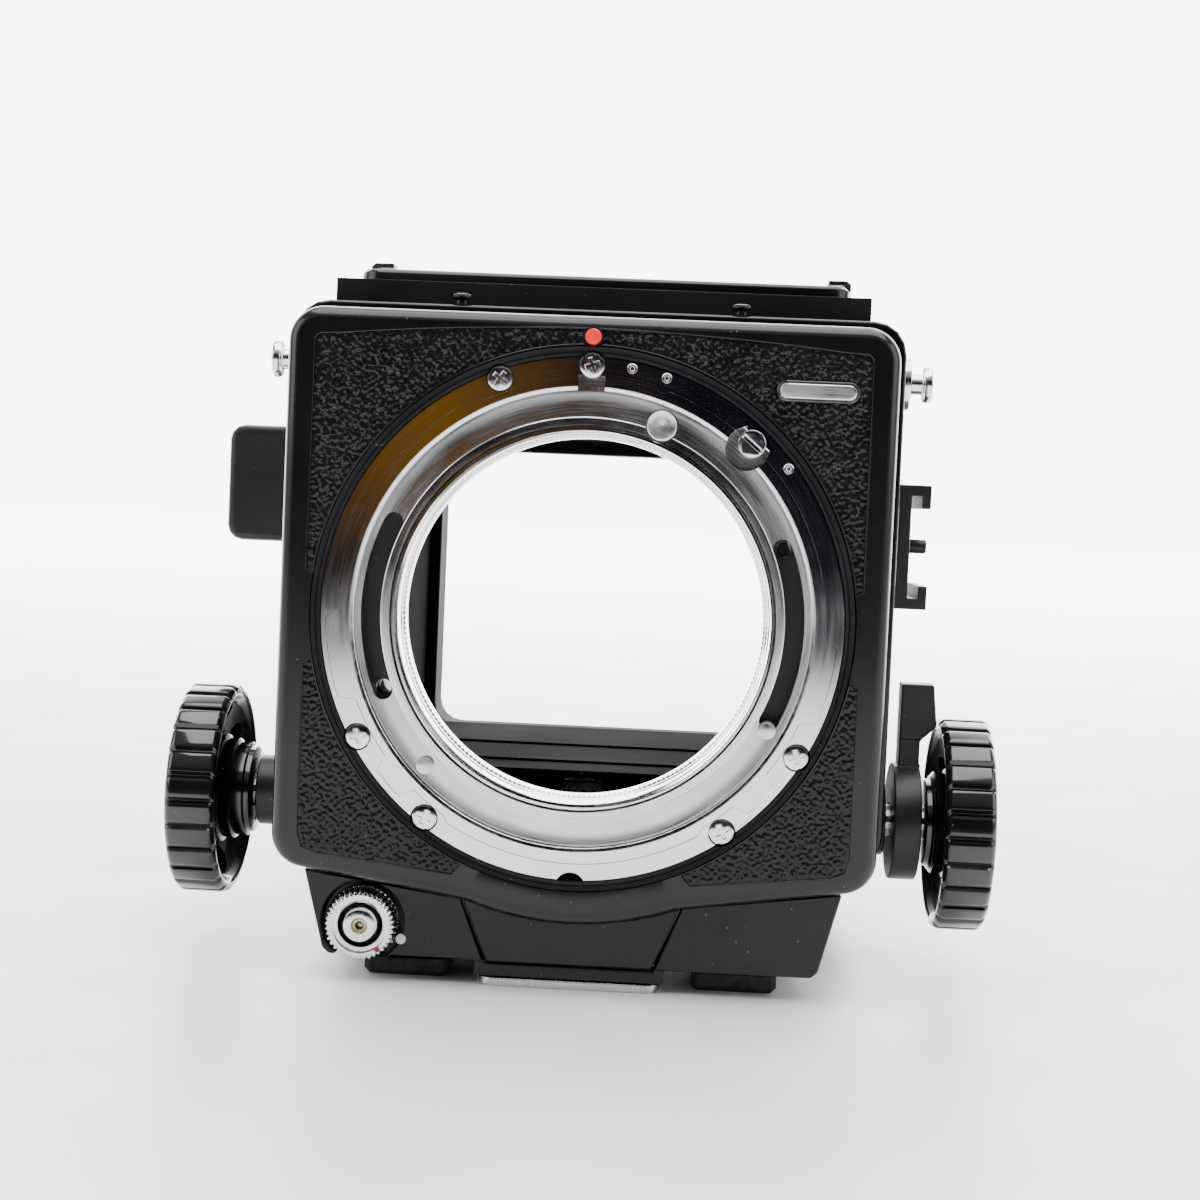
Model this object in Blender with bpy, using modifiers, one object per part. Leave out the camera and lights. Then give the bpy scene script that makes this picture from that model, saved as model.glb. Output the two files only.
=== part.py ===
"""Medium-format single-lens reflex camera body, bare, with its front standard retracted and its mirror raised.

All sizes are millimetres, and MM turns them into metres where a mesh is made. A point is given as
(x, depth, up): x to the right as seen from the front, depth rearwards from the lens mount's front
plane, and up from the lens axis. at() turns that into world space, where the camera stands on z = 0.
"""

import math

import bmesh
import bpy
from mathutils import Matrix, Vector

MM = 0.001

# Driving dimensions
LENS_HEIGHT = 65.0
ORIGIN_DEPTH = 56.0
GAP = 0.3

# Front standard
PLATE_HALF_WIDTH = 52.0
PLATE_TOP = 51.5
PLATE_CORNER = 6.0
PLATE_FRONT, PLATE_REAR = 1.2, 22.0
PLATE_LOW_CORNER = -38.9
LIP_RADIUS = 52.3
LIP_HALF_ANGLE = 20.0
BEZEL_RADIUS = 46.2
FLANGE_RADIUS = 44.4
FLANGE_STEP_RADIUS = 39.1
FLANGE_INNER_RADIUS = 32.9
THROAT_OUTER_RADIUS = 32.6
THROAT_RADIUS = 31.0
SEAT_RADIUS = 42.9
SCREW_CIRCLE = 43.2
SCREW_HEAD_RADIUS = 2.2
SCREW_ANGLES = (90.0, 111.0, 210.0, 234.0, 306.0, 330.0)
SLOT_RADII = (34.5, 37.8)
SLOT_ARCS = ((155.0, 202.0), (-26.0, 22.0))
LEATHER_HALF_WIDTH = 47.4
LEATHER_TOP = (46.6, 49.3)
LEATHER_RING = BEZEL_RADIUS + 0.35
LEATHER_TIPS = (6.0, -8.5)
DOT_UP = 47.85
LEATHER_DEPTH = 0.9
LEATHER_THICKNESS = 0.6

# Shutter actuating pin and the fixed pins of the mount
PIN_CIRCLE, PIN_ANGLE, PIN_RADIUS = 35.6, 70.0, 2.6
FIXED_PINS = ((36.6, 225.4), (36.6, 331.8))
FIXED_PIN_RADIUS = 1.5
PORT_CIRCLE, PORT_ANGLE, PORT_RADIUS = 40.3, 48.5, 3.7
NOTCH_RADIUS, NOTCH_DROP = 2.65, 1.3
RING_HOLE_CIRCLE, RING_HOLE_RADIUS, RING_HOLE_ANGLES = 36.5, 1.35, (22.0, 202.0)
RING_EAR_RADIUS, RING_BORE_RADIUS = 34.2, 39.4

# Bellows
BELLOWS_FOLDS = 5
BELLOWS_FRONT, BELLOWS_REAR = 12.6, 28.0
BELLOWS_HALF_WIDTH, BELLOWS_UP = 43.8, 3.4
FOLD_DEPTH, CLOTH = 2.2, 1.2

# Main body
BODY_HALF_WIDTH = 55.0
BODY_TOP = 54.5
BODY_BOTTOM = -44.0
BODY_FRONT, BODY_REAR = 24.0, 104.0
SHELL = 2.5
BOX_HALF_WIDTH = 41.0
BOX_WALL = 2.5
BOX_FLOOR = -29.3
BOX_FLOOR_WALL = 1.4
BOX_CEILING, BOX_TOP = 44.0, 49.5
LUG_CENTRE = (35.0, 44.2)
GATE_HALF_WIDTH, GATE_HALF_HEIGHT = 36.2, 30.2

# Focusing drive
SHAFT_DEPTH, SHAFT_UP = 35.0, -36.5
SHAFT_RADIUS = 3.0
SHAFT_BORE = 3.3
GEAR_MODULE = 0.8
PINION_TEETH = 12
PINION_RADIUS = GEAR_MODULE * PINION_TEETH / 2
RACK_HALF_WIDTH = 4.0
KNOB_RADIUS = 19.5
KNOB_INNER, KNOB_OUTER = 65.2, 74.3
KNOB_RIBS = 26
LOCK_DISC_RADIUS = 10.8

# Base
BASE_BOTTOM = -60.6
CHANNEL_TOP_HALF, CHANNEL_LOW_HALF = 19.6, 14.8
CHANNEL_TOP, CHANNEL_FLOOR = -48.7, -60.9
BOSS_HALF_WIDTH, BOSS_BOTTOM = 16.5, -63.2
TRIPOD_PLATE_TOP = -63.5
TRIPOD_HOLE_DEPTH = 34.0
RELEASE_X, RELEASE_UP = -36.3, -54.8

# Mirror
MIRROR_PIVOT = (97.0, 37.5)
FLAP_PIVOT = (98.3, 33.6)
COCKING_PIVOT = (62.0, -6.0)

FRONT_FACING = Matrix.Rotation(math.radians(90), 4, "X")
SIDE_FACING = Matrix.Rotation(math.radians(90), 4, "Z") @ Matrix.Rotation(math.radians(90), 4, "X")
ALONG_X = Matrix.Rotation(math.radians(90), 4, "Y")
FLAT = math.radians(0.5)

# Finish: colour, roughness, metallic
GLOSS_BLACK = ((0.012, 0.012, 0.013, 1), 0.22, 0.0)
SATIN_BLACK = ((0.02, 0.02, 0.021, 1), 0.42, 0.0)
MATTE_BLACK = ((0.016, 0.016, 0.017, 1), 0.75, 0.0)
LEATHER_BLACK = ((0.022, 0.022, 0.023, 1), 0.55, 0.0)
CHROME = ((0.80, 0.80, 0.82, 1), 0.12, 1.0)
STEEL = ((0.62, 0.61, 0.59, 1), 0.32, 1.0)
DARK_STEEL = ((0.12, 0.12, 0.125, 1), 0.4, 1.0)
RUBBER = ((0.018, 0.018, 0.018, 1), 0.85, 0.0)
GLASS = ((0.85, 0.88, 0.86, 1), 0.25, 0.0)
MIRROR = ((0.90, 0.91, 0.92, 1), 0.03, 1.0)
RED = ((0.80, 0.03, 0.02, 1), 0.4, 0.0)


def at(x, depth, up):
    return Vector((x, depth - ORIGIN_DEPTH, up + LENS_HEIGHT)) * MM


def clear_scene():
    for obj in list(bpy.data.objects):
        bpy.data.objects.remove(obj, do_unlink=True)


def new_collection(name):
    collection = bpy.data.collections.new(name)
    bpy.context.scene.collection.children.link(collection)
    return collection


clear_scene()
PARTS = new_collection("reflex_camera_body")
CUTTERS = new_collection("cutters")
CUTTERS.hide_render = True


# ---------------------------------------------------------------- making objects

def add_object(name, mesh, matrix):
    obj = bpy.data.objects.new(name, mesh)
    obj.matrix_world = matrix
    PARTS.objects.link(obj)
    return obj


def finish(obj, look):
    colour, roughness, metallic = look
    material = bpy.data.materials.new(obj.name)
    material.use_nodes = True
    shader = material.node_tree.nodes["Principled BSDF"]
    shader.inputs["Base Color"].default_value = colour
    shader.inputs["Roughness"].default_value = roughness
    shader.inputs["Metallic"].default_value = metallic
    obj.data.materials.append(material)
    return obj


def hide_as_cutter(obj):
    PARTS.objects.unlink(obj)
    CUTTERS.objects.link(obj)
    obj.hide_render = True
    obj.display_type = "WIRE"


def boolean(obj, other, operation):
    hide_as_cutter(other)
    modifier = obj.modifiers.new(f"{operation.title()} {other.name}", "BOOLEAN")
    modifier.operation = operation
    modifier.solver = "EXACT"
    modifier.object = other
    return obj


def cut(obj, *others):
    for other in others:
        boolean(obj, other, "DIFFERENCE")
    return obj


def join(obj, *others):
    for other in others:
        boolean(obj, other, "UNION")
    return obj


def bevel(obj, width, segments=1, angle=40.0):
    modifier = obj.modifiers.new("Rounded edges", "BEVEL")
    modifier.width = width * MM
    modifier.segments = segments
    modifier.limit_method = "ANGLE"
    modifier.angle_limit = math.radians(angle)
    return obj


def pivot(name, point):
    empty = bpy.data.objects.new(name, None)
    empty.location = point
    empty.empty_display_size = 5 * MM
    PARTS.objects.link(empty)
    bpy.context.view_layer.update()
    return empty


def carry(empty, *objects):
    for obj in objects:
        obj.parent = empty
        obj.matrix_parent_inverse = empty.matrix_world.inverted()


def block(name, x_span, depth_span, up_span):
    low = at(x_span[0], depth_span[0], up_span[0])
    high = at(x_span[1], depth_span[1], up_span[1])
    mesh = bpy.data.meshes.new(name)
    shape = bmesh.new()
    bmesh.ops.create_cube(shape, size=1.0)
    bmesh.ops.scale(shape, vec=high - low, verts=shape.verts)
    shape.to_mesh(mesh)
    shape.free()
    return add_object(name, mesh, Matrix.Translation((low + high) / 2))


def cylinder(name, radius, start, end, sides=24):
    axis = end - start
    mesh = bpy.data.meshes.new(name)
    shape = bmesh.new()
    bmesh.ops.create_cone(
        shape, cap_ends=True, segments=sides, radius1=radius * MM, radius2=radius * MM, depth=axis.length
    )
    shape.to_mesh(mesh)
    shape.free()
    mesh.shade_smooth()
    mesh.set_sharp_from_angle(angle=math.radians(40))
    turn = Vector((0, 0, 1)).rotation_difference(axis).to_matrix().to_4x4()
    return add_object(name, mesh, Matrix.Translation((start + end) / 2) @ turn)


def prism(name, outlines, thickness, matrix):
    """A flat outline, with any further outlines as holes, given its thickness."""
    curve = bpy.data.curves.new(name, "CURVE")
    curve.dimensions = "2D"
    curve.fill_mode = "BOTH"
    curve.extrude = thickness / 2 * MM
    for outline in outlines:
        spline = curve.splines.new("POLY")
        spline.points.add(len(outline) - 1)
        for point, (u, v) in zip(spline.points, outline):
            point.co = (u * MM, v * MM, 0, 1)
        spline.use_cyclic_u = True
    guide = bpy.data.objects.new(name + "_outline", curve)
    PARTS.objects.link(guide)
    graph = bpy.context.evaluated_depsgraph_get()
    mesh = bpy.data.meshes.new_from_object(guide.evaluated_get(graph))
    bpy.data.objects.remove(guide)
    bpy.data.curves.remove(curve)
    shape = bmesh.new()
    shape.from_mesh(mesh)
    bmesh.ops.remove_doubles(shape, verts=shape.verts, dist=1e-6)
    bmesh.ops.dissolve_limit(shape, angle_limit=FLAT, verts=shape.verts, edges=shape.edges)
    bmesh.ops.recalc_face_normals(shape, faces=shape.faces)
    shape.to_mesh(mesh)
    shape.free()
    mesh.name = name
    return add_object(name, mesh, matrix)


def front_prism(name, outlines, depth_span):
    """Outlines are (x, up)."""
    middle = (depth_span[0] + depth_span[1]) / 2
    matrix = Matrix.Translation(at(0, middle, 0)) @ FRONT_FACING
    return prism(name, outlines, depth_span[1] - depth_span[0], matrix)


def side_prism(name, outlines, x_span):
    """Outlines are (depth, up)."""
    middle = (x_span[0] + x_span[1]) / 2
    matrix = Matrix.Translation(at(middle, 0, 0)) @ SIDE_FACING
    return prism(name, outlines, x_span[1] - x_span[0], matrix)


def flat_prism(name, outlines, up_span):
    """Outlines are (x, depth)."""
    middle = (up_span[0] + up_span[1]) / 2
    matrix = Matrix.Translation(at(0, 0, middle))
    return prism(name, outlines, up_span[1] - up_span[0], matrix)


def turned(name, profile, matrix, closed, steps):
    """Profile points are (radius, height), down the outer side first."""
    mesh = bpy.data.meshes.new(name)
    shape = bmesh.new()
    points = [shape.verts.new((radius * MM, 0, height * MM)) for radius, height in profile]
    for first, second in zip(points, points[1:]):
        shape.edges.new((first, second))
    if closed:
        shape.edges.new((points[-1], points[0]))
    shape.to_mesh(mesh)
    shape.free()
    obj = add_object(name, mesh, matrix)
    screw = obj.modifiers.new("Turn", "SCREW")
    screw.steps = steps
    screw.render_steps = steps
    screw.use_merge_vertices = True
    screw.merge_threshold = 1e-6
    screw.use_smooth_shade = True
    return obj


def turned_on_lens(name, profile, centre=(0.0, 0.0), closed=True, steps=48):
    """Profile points are (radius, depth), front to rear along the outer side."""
    matrix = Matrix.Translation(at(centre[0], 0, centre[1])) @ FRONT_FACING
    return turned(name, [(radius, -depth) for radius, depth in profile], matrix, closed, steps)


def turned_on_x(name, profile, centre, closed=True, steps=24):
    """Profile points are (radius, x), from the highest x down along the outer side."""
    matrix = Matrix.Translation(at(0, centre[0], centre[1])) @ ALONG_X
    return turned(name, profile, matrix, closed, steps)


# ---------------------------------------------------------------- outlines

def arc(centre, radius, start, end, count):
    """Points from start to end, both in degrees, ends included."""
    angles = [math.radians(start + (end - start) * i / (count - 1)) for i in range(count)]
    return [(centre[0] + radius * math.cos(a), centre[1] + radius * math.sin(a)) for a in angles]


def circle(centre, radius, count=48):
    return arc(centre, radius, 0, 360 * (count - 1) / count, count)


def rounded(x_span, y_span, radius, count=5):
    low_x, high_x = x_span
    low_y, high_y = y_span
    corners = (
        (high_x - radius, low_y + radius, -90),
        (high_x - radius, high_y - radius, 0),
        (low_x + radius, high_y - radius, 90),
        (low_x + radius, low_y + radius, 180),
    )
    outline = []
    for x, y, start in corners:
        outline += arc((x, y), radius, start, start + 90, count)
    return outline


def polar(radius, angle):
    turn = math.radians(angle)
    return radius * math.cos(turn), radius * math.sin(turn)


def slot_outline(radii, start, end, count=12):
    """An arc-shaped slot round the lens axis, with round ends."""
    middle = (radii[0] + radii[1]) / 2
    half = (radii[1] - radii[0]) / 2
    outline = arc((0, 0), radii[1], start, end, count)
    outline += arc(polar(middle, end), half, end, end + 180, 7)[1:-1]
    outline += arc((0, 0), radii[0], end, start, count)
    outline += arc(polar(middle, start), half, start + 180, start + 360, 7)[1:-1]
    return outline


def plate_outline(grow=0.0):
    """The front standard: straight sides, and a lower edge that dips under the lens mount."""
    half = PLATE_HALF_WIDTH + grow
    radius = PLATE_CORNER + grow
    side = half - radius
    high = PLATE_TOP + grow - radius
    outline = arc((0, 0), LIP_RADIUS + grow, 270 - LIP_HALF_ANGLE, 270 + LIP_HALF_ANGLE, 9)
    outline += arc((side, PLATE_LOW_CORNER), radius, -82, 0, 5)
    outline += arc((side, high), radius, 0, 90, 5)
    outline += arc((-side, high), radius, 90, 180, 5)
    outline += arc((-side, PLATE_LOW_CORNER), radius, 180, 262, 5)
    return outline


def leather_top_outline(shrink=0.0):
    """Over the mount and down both sides, to a point where the mount comes near the plate's edge."""
    ring = LEATHER_RING + shrink
    half = LEATHER_HALF_WIDTH - shrink
    corner, middle = LEATHER_TOP
    end = math.degrees(math.asin((LEATHER_TIPS[0] + shrink) / ring))
    outline = arc((0, 0), ring, 180 - end, end, 33)
    outline += [(half, outline[-1][1] + 1.0), (half, corner - shrink - 1.0)]
    count = 9
    for i in range(count):
        share = 1 - 2 * i / (count - 1)
        outline.append(((half - 1.0) * share, middle - shrink - (middle - corner) * share**2))
    outline += [(-half, corner - shrink - 1.0), (-half, outline[0][1] + 1.0)]
    return outline


def leather_low_outline(side, shrink=0.0):
    """A lower corner, from below the plain strip at the side to a point under the mount."""
    ring = LEATHER_RING + shrink
    half = LEATHER_HALF_WIDTH - shrink
    start = math.degrees(math.asin((LEATHER_TIPS[1] - shrink) / ring))
    outline = arc((0, 0), ring, start, -65 + 3 * shrink, 14)
    outline += [(22.5, -45.6 + shrink), (half - 3.5, -42.2 + shrink)]
    outline += [(half - 0.8, -41.0 + shrink), (half, -38.5), (half, outline[0][1] - 1.0)]
    return [(side * x, up) for x, up in outline]


def gear_outline(teeth, module):
    """Slender teeth, so that the gear keeps clear of its rack in every position."""
    pitch = module * teeth / 2
    step = 360 / teeth
    outline = []
    for tooth in range(teeth):
        middle = tooth * step - 90
        for radius, share in ((pitch - module, -0.24), (pitch + 0.8 * module, -0.09),
                              (pitch + 0.8 * module, 0.09), (pitch - module, 0.24)):
            outline.append(polar(radius, middle + share * step))
    return outline


def rack_outline(depth_span, pitch_line, base):
    """A toothed bar; one tooth gap lies under the pinion's lowest tooth at rest."""
    tooth = math.pi * GEAR_MODULE
    first = math.ceil((depth_span[0] + 1 - SHAFT_DEPTH) / tooth)
    last = math.floor((depth_span[1] - 1 - SHAFT_DEPTH) / tooth)
    root, tip = pitch_line - GEAR_MODULE, pitch_line + 0.7 * GEAR_MODULE
    outline = [(depth_span[0], root)]
    for i in range(first, last):
        middle = SHAFT_DEPTH + (i + 0.5) * tooth
        for share, up in ((-0.22, root), (-0.08, tip), (0.08, tip), (0.22, root)):
            outline.append((middle + share * tooth, up))
    outline += [(depth_span[1], root), (depth_span[1], base), (depth_span[0], base)]
    return outline[::-1]


# ---------------------------------------------------------------- front standard

def make_front_plate():
    plate = front_prism("front_plate", [plate_outline()], (PLATE_FRONT, PLATE_REAR))
    bevel(plate, 2.4, 3, 50)
    cut(
        plate,
        front_prism("plate_bezel_seat", [circle((0, 0), BEZEL_RADIUS + GAP)], (0, 6.3)),
        front_prism("plate_ring_seat", [circle((0, 0), SEAT_RADIUS)], (5, 10)),
        front_prism("plate_cavity", [rounded((-47.5, 47.5), (-41.5, 48.0), 4)], (9, 23)),
        front_prism("recess_top", [leather_top_outline()], (0, PLATE_FRONT + LEATHER_DEPTH)),
        front_prism("recess_left", [leather_low_outline(-1)], (0, PLATE_FRONT + LEATHER_DEPTH)),
        front_prism("recess_right", [leather_low_outline(1)], (0, PLATE_FRONT + LEATHER_DEPTH)),
    )
    return finish(plate, GLOSS_BLACK)


def make_leathers():
    span = (PLATE_FRONT, PLATE_FRONT + LEATHER_THICKNESS)
    top = front_prism("leather_top", [leather_top_outline(0.25)], span)
    left = front_prism("leather_lower_left", [leather_low_outline(-1, 0.25)], span)
    right = front_prism("leather_lower_right", [leather_low_outline(1, 0.25)], span)
    dot = cylinder("index_dot", 1.4, at(0, 0.4, DOT_UP), at(0, PLATE_FRONT - GAP, DOT_UP), 16)
    finish(dot, RED)
    return [finish(piece, LEATHER_BLACK) for piece in (top, left, right)] + [dot]


def screw_cutters(name):
    cutters = []
    for i, angle in enumerate(SCREW_ANGLES):
        x, up = polar(SCREW_CIRCLE, angle)
        start, end = at(x, -1, up), at(x, 2.6, up)
        cutters.append(cylinder(f"{name}_{i}", SCREW_HEAD_RADIUS + GAP, start, end, 16))
    return cutters


def make_bezel():
    profile = [(BEZEL_RADIUS - 0.8, 0), (BEZEL_RADIUS, 1.0), (BEZEL_RADIUS, 6.0),
               (FLANGE_RADIUS + GAP, 6.0), (FLANGE_RADIUS + GAP, 0.3), (FLANGE_RADIUS + 0.7, 0)]
    bezel = turned_on_lens("bezel_ring", profile)
    return finish(cut(bezel, *screw_cutters("bezel_scallop")), MATTE_BLACK)


def make_flange():
    inner = FLANGE_INNER_RADIUS
    profile = [(FLANGE_RADIUS - 0.3, 0.8), (FLANGE_RADIUS, 1.1), (FLANGE_RADIUS, 5.7), (inner, 5.7),
               (inner, 2.4), (FLANGE_STEP_RADIUS - 0.4, 2.4), (FLANGE_STEP_RADIUS, 0.8)]
    flange = turned_on_lens("mount_flange", profile)
    cut(flange, *screw_cutters("flange_counterbore"))
    for i, (start, end) in enumerate(SLOT_ARCS):
        cut(flange, front_prism(f"flange_slot_{i}", [slot_outline(SLOT_RADII, start, end)], (0, 7)))
    x, up = polar(PORT_CIRCLE, PORT_ANGLE)
    cut(flange, cylinder("flange_port", PORT_RADIUS, at(x, -1, up), at(x, 4.5, up), 24))
    cut(flange, block("flange_keyway", (-2.3, 2.3), (0, 2.4), (37.0, 41.2)))
    low = -FLANGE_RADIUS - NOTCH_DROP
    cut(flange, cylinder("flange_notch", NOTCH_RADIUS, at(0, -1, low), at(0, 2.5, low), 20))
    x, up = polar(PIN_CIRCLE, PIN_ANGLE)
    cut(flange, cylinder("flange_pin_hole", PIN_RADIUS + GAP, at(x, -1, up), at(x, 7, up), 20))
    for i, (radius, angle) in enumerate(FIXED_PINS):
        x, up = polar(radius, angle)
        join(flange, cylinder(f"fixed_pin_{i}", FIXED_PIN_RADIUS, at(x, 1.3, up), at(x, 4, up), 14))
    return finish(flange, CHROME)


def make_throat():
    outer, inner = THROAT_OUTER_RADIUS, THROAT_RADIUS
    profile = [(outer, 2.8), (outer, 9.3), (41.2, 9.3), (41.2, 12.0), (inner, 12.0), (inner, 10.5),
               (32.0, 2.8)]
    throat = turned_on_lens("throat_ring", profile)
    x, up = polar(PIN_CIRCLE, PIN_ANGLE)
    cut(throat, cylinder("throat_pin_hole", PIN_RADIUS + GAP, at(x, 8, up), at(x, 14, up), 20))
    return finish(throat, CHROME)


def make_mount_screws():
    screws = []
    for i, angle in enumerate(SCREW_ANGLES):
        x, up = polar(SCREW_CIRCLE, angle)
        screw = cylinder(f"mount_screw_{i + 1}", SCREW_HEAD_RADIUS, at(x, 0.9, up), at(x, 2.3, up), 16)
        for turn in (angle, angle + 90):
            across = Matrix.Translation(at(x, 0.9, up)) @ Matrix.Rotation(math.radians(-turn), 4, "Y")
            cross = block(f"screw_cross_{i}_{turn:.0f}", (-1.3, 1.3), (0, 1.0), (0, 0.5))
            cross.matrix_world = across
            cut(screw, cross)
        screws.append(finish(screw, STEEL))
    return screws


def make_cocking_ring():
    """A flat ring with two broad ears, which are what the two arc slots show."""
    outline = []
    for start, end in SLOT_ARCS[::-1]:
        low, high = start - 4, end + 4
        outline += arc((0, 0), RING_EAR_RADIUS, low, high, 14)
        outline += arc((0, 0), RING_BORE_RADIUS, high + 3, high + 125, 10)
    holes = [circle(polar(RING_HOLE_CIRCLE, angle), RING_HOLE_RADIUS, 10) for angle in RING_HOLE_ANGLES]
    ring = front_prism("cocking_ring", [circle((0, 0), 42.3), outline, *holes], (6.1, 8.6))
    return finish(ring, DARK_STEEL)


def make_shutter_pin():
    x, up = polar(PIN_CIRCLE, PIN_ANGLE)
    profile = [(0, 0.9), (PIN_RADIUS - 0.2, 0.9), (PIN_RADIUS, 1.1), (PIN_RADIUS, 13.5), (0, 13.5)]
    return finish(turned_on_lens("shutter_pin", profile, (x, up), False, 20), STEEL)


def make_bellows():
    """Folded flat between the two standards; a square ring with mitred corners."""
    step = (BELLOWS_REAR - BELLOWS_FRONT) / (2 * BELLOWS_FOLDS)
    diagonal = math.sqrt(2)
    outer = [(BELLOWS_HALF_WIDTH - FOLD_DEPTH * (i % 2), BELLOWS_FRONT + i * step)
             for i in range(2 * BELLOWS_FOLDS + 1)]
    inner = [(radius - CLOTH, depth) for radius, depth in outer[::-1]]
    profile = [(radius * diagonal, depth) for radius, depth in outer + inner]
    bellows = turned_on_lens("bellows", profile, (0, BELLOWS_UP), steps=4)
    bellows.data.transform(Matrix.Rotation(math.radians(45), 4, "Z"))
    bellows.data.update()
    return finish(bellows, MATTE_BLACK)


def make_carriage():
    edge = [(CHANNEL_TOP_HALF - 0.5, -49.2), (CHANNEL_LOW_HALF - 0.5, -60.4)]
    top = arc((0, 0), LIP_RADIUS + 0.5, 291.0, 249.0, 9)
    outline = [(-edge[1][0], edge[1][1]), edge[1], (edge[0][0], top[0][1]), *top, (-edge[0][0], top[-1][1])]
    carriage = front_prism("focus_carriage", [outline], (6.4, 24.0))
    bevel(carriage, 0.6, 1)
    join(carriage, block("carriage_bar", (-13, 13), (22.4, 92), (-60.3, -46.4)))
    for side in (-1, 1):
        start, end = at(side * 15.5, 10, -52), at(side * 15.5, 26, -52)
        cut(carriage, cylinder(f"carriage_rail_bore_{side}", 1.8, start, end, 12))
    rack = side_prism(
        "focus_rack",
        [rack_outline((22.8, 88.0), SHAFT_UP - PINION_RADIUS, -46.1)],
        (-RACK_HALF_WIDTH, RACK_HALF_WIDTH),
    )
    return [finish(carriage, SATIN_BLACK), finish(rack, STEEL)]


# ---------------------------------------------------------------- main body

def make_front_frame():
    outer = rounded((-BODY_HALF_WIDTH, BODY_HALF_WIDTH), (BODY_BOTTOM, BODY_TOP), 6)
    inner = rounded((-47.3, 47.3), (-40.8, 50.6), 3)
    frame = front_prism("front_frame", [outer, inner], (BODY_FRONT, BODY_FRONT + 3))
    cut(frame, block("rack_notch", (-5.5, 5.5), (20, 30), (-46, -38)))
    return finish(frame, GLOSS_BLACK)


def make_mirror_box():
    outer = rounded((-BOX_HALF_WIDTH, BOX_HALF_WIDTH), (BOX_FLOOR - BOX_FLOOR_WALL, BOX_TOP), 2, 3)
    half = BOX_HALF_WIDTH - BOX_WALL
    inner = rounded((-half, half), (BOX_FLOOR, BOX_CEILING), 1, 3)
    box = front_prism("mirror_box", [outer, inner], (28.6, 100.0))
    cut(box, block("screen_well", (-34.5, 34.5), (38, 92), (40, 52)))
    for i, (depth, up, radius) in enumerate(((*MIRROR_PIVOT, 1.8), (*FLAP_PIVOT, 1.3))):
        cut(box, cylinder(f"hinge_hole_{i}", radius, at(-44, depth, up), at(44, depth, up), 12))
    return finish(box, MATTE_BLACK)


def make_side_cover(name, side):
    """A C-shaped cover: a wall with a flange turned in along its top and bottom."""
    edge, flange = BODY_HALF_WIDTH, 41.5
    outline = arc((edge - 6, BODY_BOTTOM + 6), 6, -90, 0, 5) + arc((edge - 6, BODY_TOP - 6), 6, 0, 90, 5)
    outline += [(flange, BODY_TOP), (flange, BODY_TOP - SHELL)]
    outline += arc((edge - 6, BODY_TOP - 6), 6 - SHELL, 90, 0, 4)
    outline += arc((edge - 6, BODY_BOTTOM + 6), 6 - SHELL, 0, -90, 4)
    outline += [(flange, BODY_BOTTOM + SHELL), (flange, BODY_BOTTOM)]
    outline = [(side * x, up) for x, up in outline]
    cover = front_prism(name, [outline], (BODY_FRONT + 3 + GAP, BODY_REAR - 4))
    near, far = side * 50, side * 58
    start, end = at(near, SHAFT_DEPTH, SHAFT_UP), at(far, SHAFT_DEPTH, SHAFT_UP)
    cut(cover, cylinder(f"{name}_shaft_hole", 6.8, start, end, 24))
    return cover


def make_side_covers():
    left = make_side_cover("side_cover_left", -1)
    start, end = at(-50, *COCKING_PIVOT), at(-58, *COCKING_PIVOT)
    cut(left, cylinder("cocking_shaft_hole", 4.0, start, end, 20))
    right = make_side_cover("side_cover_right", 1)
    return [finish(left, SATIN_BLACK), finish(right, SATIN_BLACK)]


def make_top_deck():
    outer = rounded((-41.2, 41.2), (BODY_FRONT + 3 + GAP, BODY_REAR - 4), 0.5, 2)
    well = rounded((-38.0, 38.0), (34.5, 95.5), 2, 3)
    deck = flat_prism("top_deck", [outer, well], (BODY_TOP - SHELL, BODY_TOP))
    return finish(deck, SATIN_BLACK)


def make_rear_frame():
    outer = rounded((-BODY_HALF_WIDTH, BODY_HALF_WIDTH), (-58.0, BODY_TOP), 6)
    frame = front_prism("rear_frame", [outer, circle((0, 0), 46.0)], (BODY_REAR - 3.7, BODY_REAR))
    return finish(frame, SATIN_BLACK)


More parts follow.
